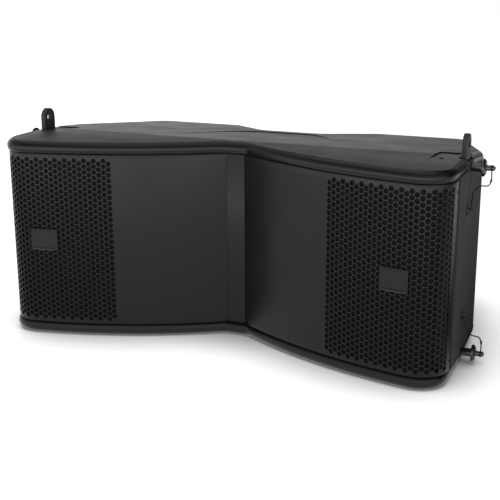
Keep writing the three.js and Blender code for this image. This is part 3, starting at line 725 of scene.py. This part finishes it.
def on_sheet(u, z, depth=0.0):
    """The point a distance u along the sheet from its inner edge, and depth behind its outer face."""
    if u <= WING_LENGTH:
        angle = WING_START + u / WING_R
        cx, cy, r = WING_X, WING_Y, WING_R
    elif u <= WING_LENGTH + CORNER_LENGTH:
        angle = CORNER_START + (u - WING_LENGTH) / CORNER_R
        cx, cy, r = CORNER_X, CORNER_Y, CORNER_R
    else:
        return (SIDE_X - depth, CORNER_Y + u - WING_LENGTH - CORNER_LENGTH, z)
    return (cx + (r - depth) * math.cos(angle), cy + (r - depth) * math.sin(angle), z)


def perforated_sheet():
    """A flat pattern of (u, z, depth) points with real holes, wrapped round the wing and the corner."""
    points, index, faces = [], {}, []

    def at(u, z, depth=0.0):
        key = (round(u, 3), round(z, 3), round(depth, 3))
        if key not in index:
            index[key] = len(points)
            points.append((u, z, depth))
        return index[key]

    first_angle = -math.acos((FIRST_COLUMN_X - WING_X) / WING_R)
    first_u = WING_R * (first_angle - WING_START)
    corner_r = PITCH / 2 / math.cos(math.radians(30))
    half_rows = 29
    left, right = first_u - 7, first_u + (COLUMNS - 1) * COLUMN_STEP + 7
    per_edge = 3
    for column in range(COLUMNS):
        u = first_u + column * COLUMN_STEP
        odd = column % 2
        count = 29 + odd
        for row in range(count):
            z = MID_Z + (row - (count - 1) / 2) * PITCH
            ring = []
            for i in range(6 * per_edge):
                angle = 2 * math.pi * i / (6 * per_edge)
                r = HOLE_R + 0.12 * math.cos(6 * angle)
                ring.append(at(u + r * math.cos(angle), z + r * math.sin(angle)))
            corners = []
            for i in range(6):
                angle = math.radians(60 * i)
                corners.append(at(u + corner_r * math.cos(angle), z + corner_r * math.sin(angle)))
            for i in range(6):
                j = (i + 1) % 6
                inner = [ring[(per_edge * i + k) % (6 * per_edge)] for k in range(per_edge, -1, -1)]
                faces.append((corners[i], corners[j], *inner))
    top, bottom = SHEET_HIGH - 1.2, SHEET_LOW + 1.2
    for sign, edge in ((1, top), (-1, bottom)):
        border = [(left, MID_Z + sign * 5 * half_rows)]
        for column in range(COLUMNS):
            u = first_u + column * COLUMN_STEP
            z = MID_Z + sign * (5 * half_rows + 5 * (column % 2))
            border += [(u - corner_r / 2, z), (u + corner_r / 2, z)]
        border.append((right, MID_Z + sign * 5 * half_rows))
        for (u0, z0), (u1, z1) in zip(border[:-1], border[1:]):
            faces.append((at(u0, z0), at(u1, z1), at(u1, edge), at(u0, edge))[::sign])
    last_u = first_u + (COLUMNS - 1) * COLUMN_STEP
    for sign, u, limit in ((-1, first_u, left), (1, last_u, right)):
        for k in range(-half_rows, half_rows):
            z0, z1 = MID_Z + 5 * k, MID_Z + 5 * (k + 1)
            reach0 = corner_r if (k + half_rows) % 2 else corner_r / 2
            reach1 = corner_r / 2 if (k + half_rows) % 2 else corner_r
            faces.append(
                (at(u + sign * reach0, z0), at(limit, z0), at(limit, z1), at(u + sign * reach1, z1))[::sign]
            )
    rows = [bottom] + [MID_Z + 5 * k for k in range(-half_rows, half_rows + 1)] + [top]
    plain = [(0.0, left, 20), (right, SHEET_LENGTH, 4)]
    for start, end, steps in plain:
        for i in range(steps):
            u0, u1 = start + (end - start) * i / steps, start + (end - start) * (i + 1) / steps
            for z0, z1 in zip(rows[:-1], rows[1:]):
                faces.append((at(u0, z0), at(u1, z0), at(u1, z1), at(u0, z1)))
    # the top and bottom edges roll back slightly
    for sign, edge in ((1, top), (-1, bottom)):
        line = sorted({u for u, z, _ in points if abs(z - edge) < 1e-6})
        steps = [(edge, 0.0), (edge + sign * 0.7, 0.2), (edge + sign * 1.2, 0.7)]
        for (z0, d0), (z1, d1) in zip(steps[:-1], steps[1:]):
            for u0, u1 in zip(line[:-1], line[1:]):
                faces.append((at(u0, z0, d0), at(u1, z0, d0), at(u1, z1, d1), at(u0, z1, d1))[::sign])
    return points, faces


def add_sheets():
    points, faces = perforated_sheet()
    front = [on_sheet(u, z, depth) for u, z, depth in points]
    back = [on_sheet(u, z, SHEET_THICK) for u, z, _ in points]
    n = len(front)
    seen = {}
    for face in faces:
        for a, b in zip(face, face[1:] + face[:1]):
            seen[(a, b)] = True
    walls = [(b, a, a + n, b + n) for a, b in seen if (b, a) not in seen]
    solid = faces + [tuple(i + n for i in reversed(face)) for face in faces] + walls
    for side, sign in SIDES:
        piece(
            f"{side}_perforated_sheet",
            front + back,
            solid,
            SHEET,
            "cabinet",
            "grille",
            stands_for=[f"{side}_grille"],
            sharp=40,
            mirror_x=sign < 0,
        )


# ------------------------------------------------------------------ badges


BADGE_X, BADGE_Z = 320.0, 178.0
BADGE_WIDTH, BADGE_HEIGHT = 50.0, 38.5


def on_badge(x, z, h):
    """A point over the sheet, from the badge's middle; h is its height over the badge's back."""
    angle = -math.acos((BADGE_X - WING_X) / WING_R) + x / WING_R
    r = WING_R + 0.3 + h
    return (WING_X + r * math.cos(angle), WING_Y + r * math.sin(angle), BADGE_Z + z)


def badge_bar():
    """A thin polished bar along the badge's lower edge."""
    low = -BADGE_HEIGHT / 2 + 0.2
    section = [(low, 1.9), (low, 3.1), (low + 0.5, 3.5), (low + 1.3, 3.5), (low + 1.8, 3.1), (low + 1.8, 1.9)]
    loops = [[on_badge(-21 + 3.5 * i, z, h) for z, h in section] for i in range(13)]
    return rings(loops)


def badge_solid():
    """A curved plate: (x, z) grid lines with a height over the sheet, so that edges and frame are one skin."""
    half_w, half_h, thick = BADGE_WIDTH / 2, BADGE_HEIGHT / 2, 2.5
    line_x, line_z = half_w - 4, half_h - 4
    xs = [-half_w, -half_w + 0.7, -line_x - 0.9, -line_x - 0.4, -line_x + 0.4, -line_x + 0.9]
    xs += [-14, -7, 0]
    xs += [-x for x in reversed(xs[:-1])]
    zs = [-half_h, -half_h + 0.8, -line_z - 0.9, -line_z - 0.4, -line_z + 0.4, -line_z + 0.9, 0]
    zs += [-z for z in reversed(zs[:-1])]

    def height(x, z):
        if abs(x) >= half_w - 1e-6 or abs(z) >= half_h - 1e-6:
            return thick - 0.7
        on_line_x = abs(abs(x) - line_x) < 0.5 and abs(z) < line_z + 0.5
        on_line_z = abs(abs(z) - line_z) < 0.5 and abs(x) < line_x + 0.5
        return thick + (0.35 if on_line_x or on_line_z else 0.0)

    columns = len(xs)
    front = [on_badge(x, z, height(x, z)) for z in zs for x in xs]
    back = [on_badge(x, z, 0.0) for z in zs for x in xs]
    n = len(front)
    faces, seen = [], {}
    for r in range(len(zs) - 1):
        for c in range(columns - 1):
            a = r * columns + c
            faces.append((a, a + 1, a + 1 + columns, a + columns))
    for face in faces:
        for a, b in zip(face, face[1:] + face[:1]):
            seen[(a, b)] = True
    walls = [(b, a, a + n, b + n) for a, b in seen if (b, a) not in seen]
    return front + back, faces + [tuple(i + n for i in reversed(f)) for f in faces] + walls


def add_badges():
    vertices, faces = badge_solid()
    bar = badge_bar()
    for side, sign in SIDES:
        piece(f"{side}_badge_bar", *bar, BRIGHT, "cabinet", "badge", sharp=35, mirror_x=sign < 0)
        piece(
            f"{side}_badge_plate",
            vertices,
            faces,
            BADGE,
            "cabinet",
            "badge",
            stands_for=[f"{side}_badge"],
            sharp=18,
            mirror_x=sign < 0,
        )


# ------------------------------------------------------------------ pins, buttons and lanyards

PIN_PROFILE = [
    (0, 0), (0, 3.6), (0.4, 4.6), (3.0, 6.8), (3.6, 7.0), (5.2, 7.0), (5.4, 6.75), (6.0, 6.75), (6.2, 7.0),
    (22.4, 7.0), (22.4, 13.5), (22.9, 14.3), (23.3, 14.6), (25.2, 14.6), (25.8, 14.1), (27.8, 11.6),
    (28.2, 10.6), (28.4, 9.2), (28.4, 5.2), (28.8, 4.6), (35.9, 4.5), (36.4, 3.7), (38.4, 3.7), (38.9, 4.5),
    (41.0, 4.5), (41.4, 4.2), (41.5, 3.9), (41.5, 2.9), (36.8, 2.9), (36.8, 0),
]
BUTTON_PROFILE = [(39.2, 0), (39.2, 2.6), (42.4, 2.6), (42.8, 2.4), (43.1, 1.9), (43.0, 0.9), (42.9, 0)]


def along_x(tip_x, y, z):
    return lambda along, u, v: (tip_x + along, y + u, z + v)


def add_pins():
    for level, up in LEVELS:
        z = MID_Z + up * PIN_RISE
        for side, sign in SIDES:
            place = along_x(PIN_TIP_X, LINK_Y, z)
            body = f"{side}_{level}_pin"
            pin = lathe(PIN_PROFILE, place)
            piece(
                f"{side}_{level}_turned_pin", *pin, BRIGHT, body, "bright",
                stands_for=[f"{side}_{level}_lock_pin"], sharp=28, mirror_x=sign < 0,
            )
            button = lathe(BUTTON_PROFILE, place, 24)
            piece(
                f"{side}_{level}_turned_button", *button, BUTTON, f"{side}_{level}_button", "plastic",
                stands_for=[f"{side}_{level}_pin_button"], sharp=35, mirror_x=sign < 0,
            )
    place = along_x(7.6, 430, 289)
    piece(
        "rear_turned_pin", *lathe(PIN_PROFILE, place), BRIGHT, "rear_pin", "bright",
        stands_for=["rear_lock_pin"], sharp=28,
    )
    piece(
        "rear_turned_button", *lathe(BUTTON_PROFILE, place, 24), BUTTON, "rear_button", "plastic",
        stands_for=["rear_pin_button"], sharp=35,
    )


def catmull_rom(points, per_span):
    points = [Vector(p) for p in points]
    padded = [points[0] * 2 - points[1]] + points + [points[-1] * 2 - points[-2]]
    curve = []
    for i in range(1, len(padded) - 2):
        p0, p1, p2, p3 = padded[i - 1 : i + 3]
        for k in range(per_span):
            t = k / per_span
            curve.append(
                0.5
                * (
                    2 * p1
                    + (p2 - p0) * t
                    + (2 * p0 - 5 * p1 + 4 * p2 - p3) * t * t
                    + (3 * p1 - p0 - 3 * p2 + p3) * t**3
                )
            )
    return curve + [points[-1]]


def tube(curve, radius_at, segments=18):
    """Sweeps a section along a curve with no twist; radius_at(step, length, angle) gives its radius."""
    ring_list = []
    side = Vector((0, 1, 0))
    length = 0.0
    for i, p in enumerate(curve):
        ahead = curve[min(i + 1, len(curve) - 1)] - curve[max(i - 1, 0)]
        ahead.normalize()
        side = (side - ahead * side.dot(ahead)).normalized()
        other = ahead.cross(side)
        if i:
            length += (p - curve[i - 1]).length
        ring = []
        for k in range(segments):
            angle = 2 * math.pi * k / segments
            r = radius_at(i, length, angle)
            ring.append(tuple(p + side * (r * math.cos(angle)) + other * (r * math.sin(angle))))
        ring_list.append(ring)
    return rings(ring_list)


def strand(_, length, angle):
    """A stranded cable under a thin coat: six low ridges that wind round it."""
    return 1.0 + 0.1 * math.cos(6 * angle + length * 1.1)


def torus(centre, u, v, big, small, big_steps=28, small_steps=10):
    centre, u, v = Vector(centre), Vector(u), Vector(v)
    w = u.cross(v)
    vertices, faces = [], []
    for i in range(big_steps):
        a = 2 * math.pi * i / big_steps
        out = u * math.cos(a) + v * math.sin(a)
        for k in range(small_steps):
            b = 2 * math.pi * k / small_steps
            vertices.append(tuple(centre + out * (big + small * math.cos(b)) + w * (small * math.sin(b))))
    for i in range(big_steps):
        for k in range(small_steps):
            a, b = i * small_steps, (i + 1) % big_steps * small_steps
            j = (k + 1) % small_steps
            faces.append((a + k, b + k, b + j, a + j))
    return vertices, faces


def crimp(curve, start, end):
    """A pressed ferrule round part of the cable."""
    part = curve[start : end + 1]
    last = len(part) - 1

    def radius(i, _, angle):
        edge = 0.75 if i in (0, last) else 1.0
        return edge * (2.1 + 0.45 * math.cos(2 * angle))

    return tube(part, radius, 20)


def lanyard_solid():
    stem_x = PIN_TIP_X + 37.4
    z = lambda rise: MID_Z + rise
    curve = catmull_rom(
        [
            (stem_x, LINK_Y, z(PIN_RISE - 5.4)),
            (stem_x, LINK_Y, z(139)),
            (stem_x - 4.5, LINK_Y, z(130)),
            (stem_x - 18, LINK_Y + 2, z(127.5)),
            (SIDE_X + 5, LINK_Y + 6, z(116)),
            (SIDE_X + 5, LINK_Y - 4, z(105)),
            (SIDE_X + 6, ANCHOR_Y + 3.4, z(ANCHOR_RISE + 4)),
        ],
        12,
    )
    ring = torus((stem_x, LINK_Y, z(PIN_RISE)), (0, 1, 0), (0, 0, 1), 4.7, 0.95)
    eye = torus((SIDE_X + 6, ANCHOR_Y, z(ANCHOR_RISE + 2)), (0, 1, 0), (1, 0, 0), 2.8, 0.95)
    return joined(tube(curve, strand), crimp(curve, 10, 16), crimp(curve, 60, 68), ring, eye)


def add_lanyards():
    vertices, faces = lanyard_solid()
    for level, up in LEVELS:
        shape = (vertices, faces) if up > 0 else mirrored_z(vertices, faces)
        for side, sign in SIDES:
            made = piece(
                f"{side}_{level}_cable", *shape, CABLE, None, None, sharp=50, mirror_x=sign < 0
            )
            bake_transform(made)
            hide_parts(f"{side}_{level}_lanyard")


# ------------------------------------------------------------------ screws


def screw(place, r=3.4):
    """A button-head screw with a hexagonal socket; place(along, u, v) has along pointing out."""
    socket = 0.46 * r
    profile = [
        (-1.0, r), (0.25, r), (0.7, 0.93 * r), (1.2, 0.78 * r), (1.55, 0.6 * r), (1.6, socket),
        (1.45, 0.95 * socket), (0.3, 0.95 * socket), (0.2, 0),
    ]

    def radius_at(step, radius, angle):
        if step < 5:
            return radius
        within = (angle + math.pi / 6) % (math.pi / 3) - math.pi / 6
        return radius / math.cos(within) * 0.95

    return lathe(profile, place, 36, radius_at)


def facing_x(x, y, z):
    return lambda along, u, v: (x + along, y + u, z + v)


def facing_y(x, y, z):
    return lambda along, u, v: (x - u, y + along, z + v)


def facing_z(x, y, z):
    return lambda along, u, v: (x + u, y + v, z + along)


def add_screws():
    side_screws = [
        (107, MID_Z + 141, 3.2), (107, MID_Z - 141, 3.2), (138, MID_Z, 3.2), (100, MID_Z + 4, 1.6),
    ]
    sheet_screws = [(40.5, MID_Z + 138, 2.8), (40.5, MID_Z - 138, 2.8)]
    for side, sign in SIDES:
        heads = [screw(facing_x(SIDE_X, y, z), r) for y, z, r in side_screws]
        piece(f"{side}_plate_screws", *joined(*heads), STEEL, "cabinet", "steel", mirror_x=sign < 0)
        heads = [screw(facing_x(SIDE_X - 0.6, y, z), r) for y, z, r in sheet_screws]
        piece(f"{side}_sheet_screws", *joined(*heads), SHEET, "cabinet", "grille", mirror_x=sign < 0)
        floor = HEIGHT - (105 - 88) * 0.0667
        top = screw(facing_z(362, 105, floor), 4.2)
        piece(f"{side}_top_cap_screw", *top, CAP, "cabinet", "cap", mirror_x=sign < 0)
        piece(
            f"{side}_bottom_cap_screw", *mirrored_z(*top), CAP, "cabinet", "cap", mirror_x=sign < 0
        )
        corners = [(x, z) for x in (184, 292) for z in (131, 223)]
        heads = [screw(facing_y(x, REAR_Y + 3.3, z), 2.4) for x, z in corners]
        piece(f"{side}_handle_screws", *joined(*heads), STEEL, "cabinet", "steel", mirror_x=sign < 0)
    heads = [screw(facing_y(x, RECESS_Y + 3.3, z), 3.0) for x in (-36, 36) for z in (58, 134)]
    heads += [screw(facing_y(x, RECESS_Y + 4.3, z), 3.6) for x in (-19, 19) for z in (183, 222)]
    piece("rear_screws", *joined(*heads), STEEL, "cabinet", "steel")


# ------------------------------------------------------------------ carried-over CAD nodes


def smoothing_nodes():
    """A modifier that shades a faceted solid smooth except across real edges."""
    group = bpy.data.node_groups.new("weld_and_smooth", "GeometryNodeTree")
    group.interface.new_socket("Geometry", in_out="INPUT", socket_type="NodeSocketGeometry")
    group.interface.new_socket("Geometry", in_out="OUTPUT", socket_type="NodeSocketGeometry")
    nodes, links = group.nodes, group.links
    source = nodes.new("NodeGroupInput")
    drop = nodes.new("GeometryNodeRemoveAttribute")
    drop.inputs["Name"].default_value = "custom_normal"
    faces = nodes.new("GeometryNodeSetShadeSmooth")
    faces.domain = "FACE"
    faces.inputs["Shade Smooth"].default_value = True
    angle = nodes.new("GeometryNodeInputMeshEdgeAngle")
    compare = nodes.new("FunctionNodeCompare")
    compare.operation = "GREATER_THAN"
    compare.inputs["B"].default_value = math.radians(32)
    edges = nodes.new("GeometryNodeSetShadeSmooth")
    edges.domain = "EDGE"
    edges.inputs["Shade Smooth"].default_value = False
    sink = nodes.new("NodeGroupOutput")
    links.new(source.outputs[0], drop.inputs["Geometry"])
    links.new(drop.outputs[0], faces.inputs["Geometry"])
    links.new(faces.outputs[0], edges.inputs["Geometry"])
    links.new(angle.outputs["Unsigned Angle"], compare.inputs["A"])
    links.new(compare.outputs[0], edges.inputs["Selection"])
    links.new(edges.outputs[0], sink.inputs[0])
    return group


SMOOTHING = smoothing_nodes()


def carry(node, material, bevel_mm=0.0):
    """Keeps a CAD node, with a better finish and softened edges."""
    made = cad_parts[node]
    made.data.materials.clear()
    made.data.materials.append(material)
    weld = made.modifiers.new("weld", "WELD")
    weld.merge_threshold = 1e-5
    if bevel_mm:
        bevel = made.modifiers.new("edges", "BEVEL")
        bevel.width = bevel_mm * MM
        bevel.segments = 2
        bevel.limit_method = "ANGLE"
        bevel.angle_limit = math.radians(40)
        bevel.use_clamp_overlap = True
    smooth = made.modifiers.new("smooth", "NODES")
    smooth.node_group = SMOOTHING


def carry_nodes():
    carry("cabinet_shell", SHELL, 0.6)
    carry("mouth_screen", SCREEN, 0.5)
    carry("waveguide_horn", PLASTIC)
    carry("input_panel", STEEL, 0.4)
    carry("crossover_board", BOARD)
    carry("crossover_capacitor", PLASTIC, 0.5)
    carry("rear_splay_bracket", STEEL, 0.6)
    carry("rear_splay_arm", STEEL, 0.8)
    for name in ("crossover_woofer_coil", "crossover_horn_coil"):
        carry(name, COPPER)
    for name in ("input_connector", "link_connector"):
        carry(name, PLASTIC, 0.3)
    for name in ("upper_compression_driver", "lower_compression_driver"):
        carry(name, IRON)
    for side, _ in SIDES:
        carry(f"{side}_grille_foam", FOAM)
        carry(f"{side}_handle_cup", PLASTIC, 0.8)
        carry(f"{side}_side_plate", STEEL, 0.5)
        carry(f"{side}_link_arm", WORN, 0.9)
        carry(f"{side}_woofer_basket", IRON)
        carry(f"{side}_woofer_magnet", IRON)
        carry(f"{side}_woofer_surround", RUBBER)
        carry(f"{side}_woofer_cone", PAPER)
        carry(f"{side}_woofer_dust_cap", PAPER)
        carry(f"{side}_woofer_voice_coil", COPPER)
        for level, _ in LEVELS:
            carry(f"{side}_{level}_lanyard_anchor", PLASTIC, 0.3)


# ------------------------------------------------------------------ the studio

ROOM_LIGHT = 0.38
BACK_LIGHT = 0.42
FRONT_LIGHT = 1.25


def add_floor():
    size = 6.0
    steps = 24
    vertices, faces = [], []
    for j in range(steps + 1):
        for i in range(steps + 1):
            vertices.append((-size + 2 * size * i / steps, -size + 2 * size * j / steps, -0.0003))
    for j in range(steps):
        for i in range(steps):
            a = j * (steps + 1) + i
            faces.append((a, a + 1, a + steps + 2, a + steps + 1))
    mesh = bpy.data.meshes.new("floor")
    mesh.from_pydata(vertices, [], faces)
    mesh.materials.append(floor_material())
    floor = bpy.data.objects.new("floor", mesh)
    bpy.context.scene.collection.objects.link(floor)


def area_light(name, place, target, size, power, color=(1, 1, 1)):
    data = bpy.data.lights.new(name, "AREA")
    data.shape = "RECTANGLE"
    data.size, data.size_y = size
    data.energy = power
    data.color = color
    light = bpy.data.objects.new(name, data)
    light.location = place
    light.rotation_euler = (Vector(target) - Vector(place)).to_track_quat("-Z", "Y").to_euler()
    bpy.context.scene.collection.objects.link(light)
    return light


def add_world():
    """White to the camera; to everything else a dim room with a light band along the horizon."""
    world = bpy.data.worlds.new("studio")
    bpy.context.scene.world = world
    world.use_nodes = True
    nodes, links = world.node_tree.nodes, world.node_tree.links
    nodes.clear()
    output = nodes.new("ShaderNodeOutputWorld")
    mix = nodes.new("ShaderNodeMixShader")
    ray = nodes.new("ShaderNodeLightPath")
    seen = nodes.new("ShaderNodeBackground")
    seen.inputs["Strength"].default_value = 1.0
    felt = nodes.new("ShaderNodeBackground")
    direction = nodes.new("ShaderNodeTexCoord")
    parts = nodes.new("ShaderNodeSeparateXYZ")
    links.new(direction.outputs["Generated"], parts.inputs[0])

    def ramp(value, low, high, from_value, to_value):
        mapped = nodes.new("ShaderNodeMapRange")
        links.new(value, mapped.inputs["Value"])
        for name, number in (
            ("From Min", low),
            ("From Max", high),
            ("To Min", from_value),
            ("To Max", to_value),
        ):
            mapped.inputs[name].default_value = number
        return mapped.outputs[0]

    def times(*factors):
        value = factors[0]
        for factor in factors[1:]:
            product = nodes.new("ShaderNodeMath")
            product.operation = "MULTIPLY"
            links.new(value, product.inputs[0])
            links.new(factor, product.inputs[1])
            value = product.outputs[0]
        return value

    x, y, z = parts.outputs
    back = times(
        ramp(z, 0.42, 0.12, 0, BACK_LIGHT),
        ramp(x, -0.2, -0.5, 1, 2.7),
        ramp(x, 0.1, -0.15, 0, 1),
        ramp(y, -0.1, 0.2, 0, 1),
    )
    front = times(
        ramp(z, 0.52, 0.3, 0, FRONT_LIGHT),
        ramp(x, -1.0, 0.0, 0.35, 1),
                ramp(y, 0.1, -0.3, 0, 1),
    )
    total = nodes.new("ShaderNodeMath")
    total.operation = "ADD"
    links.new(back, total.inputs[0])
    links.new(front, total.inputs[1])
    room = nodes.new("ShaderNodeMath")
    room.operation = "ADD"
    links.new(total.outputs[0], room.inputs[0])
    dark = times(ramp(x, -0.05, 0.3, 0, 1), ramp(y, 0, 0.4, 0, 1))
    links.new(ramp(dark, 0, 1, ROOM_LIGHT, 0.05), room.inputs[1])
    links.new(room.outputs[0], felt.inputs["Strength"])
    for background in (seen, felt):
        background.inputs["Color"].default_value = (1, 1, 1, 1)
    links.new(ray.outputs["Is Camera Ray"], mix.inputs[0])
    links.new(felt.outputs[0], mix.inputs[1])
    links.new(seen.outputs[0], mix.inputs[2])
    links.new(mix.outputs[0], output.inputs[0])


def add_camera():
    """The viewing angle: 22.6 degrees round to the object's right and 16 degrees above it."""
    yaw, pitch, roll = math.radians(22.608), math.radians(16.043), math.radians(-0.203)
    forward = Vector(
        (-math.sin(yaw) * math.cos(pitch), math.cos(yaw) * math.cos(pitch), -math.sin(pitch))
    )
    right = Vector((math.cos(yaw), math.sin(yaw), 0))
    up = right.cross(forward)
    right, up = (
        right * math.cos(roll) + up * math.sin(roll),
        up * math.cos(roll) - right * math.sin(roll),
    )
    data = bpy.data.cameras.new("camera")
    data.lens, data.sensor_width = 73.65, 36
    data.shift_x, data.shift_y = -0.4 / 500, 0.77 / 500
    data.clip_start, data.clip_end = 0.05, 50
    camera = bpy.data.objects.new("camera", data)
    place = Matrix((right, up, -forward)).transposed().to_4x4()
    place.translation = in_frame(697.8, -1490.3, 485.2 + MID_Z)
    camera.matrix_world = place
    bpy.context.scene.collection.objects.link(camera)
    bpy.context.scene.camera = camera


def add_studio():
    add_floor()
    add_world()
    add_camera()
    area_light("overhead", (-0.3, -0.2, 2.6), (-0.1, 0, 0.1), (3.2, 2.4), 17)
    bpy.context.scene.view_settings.view_transform = "Standard"


add_cap("top_end_cap", False).name = "top_cap_moulding"
add_cap("bottom_end_cap", True).name = "bottom_cap_moulding"
add_sheets()
add_badges()
add_pins()
add_lanyards()
add_screws()
carry_nodes()
add_studio()
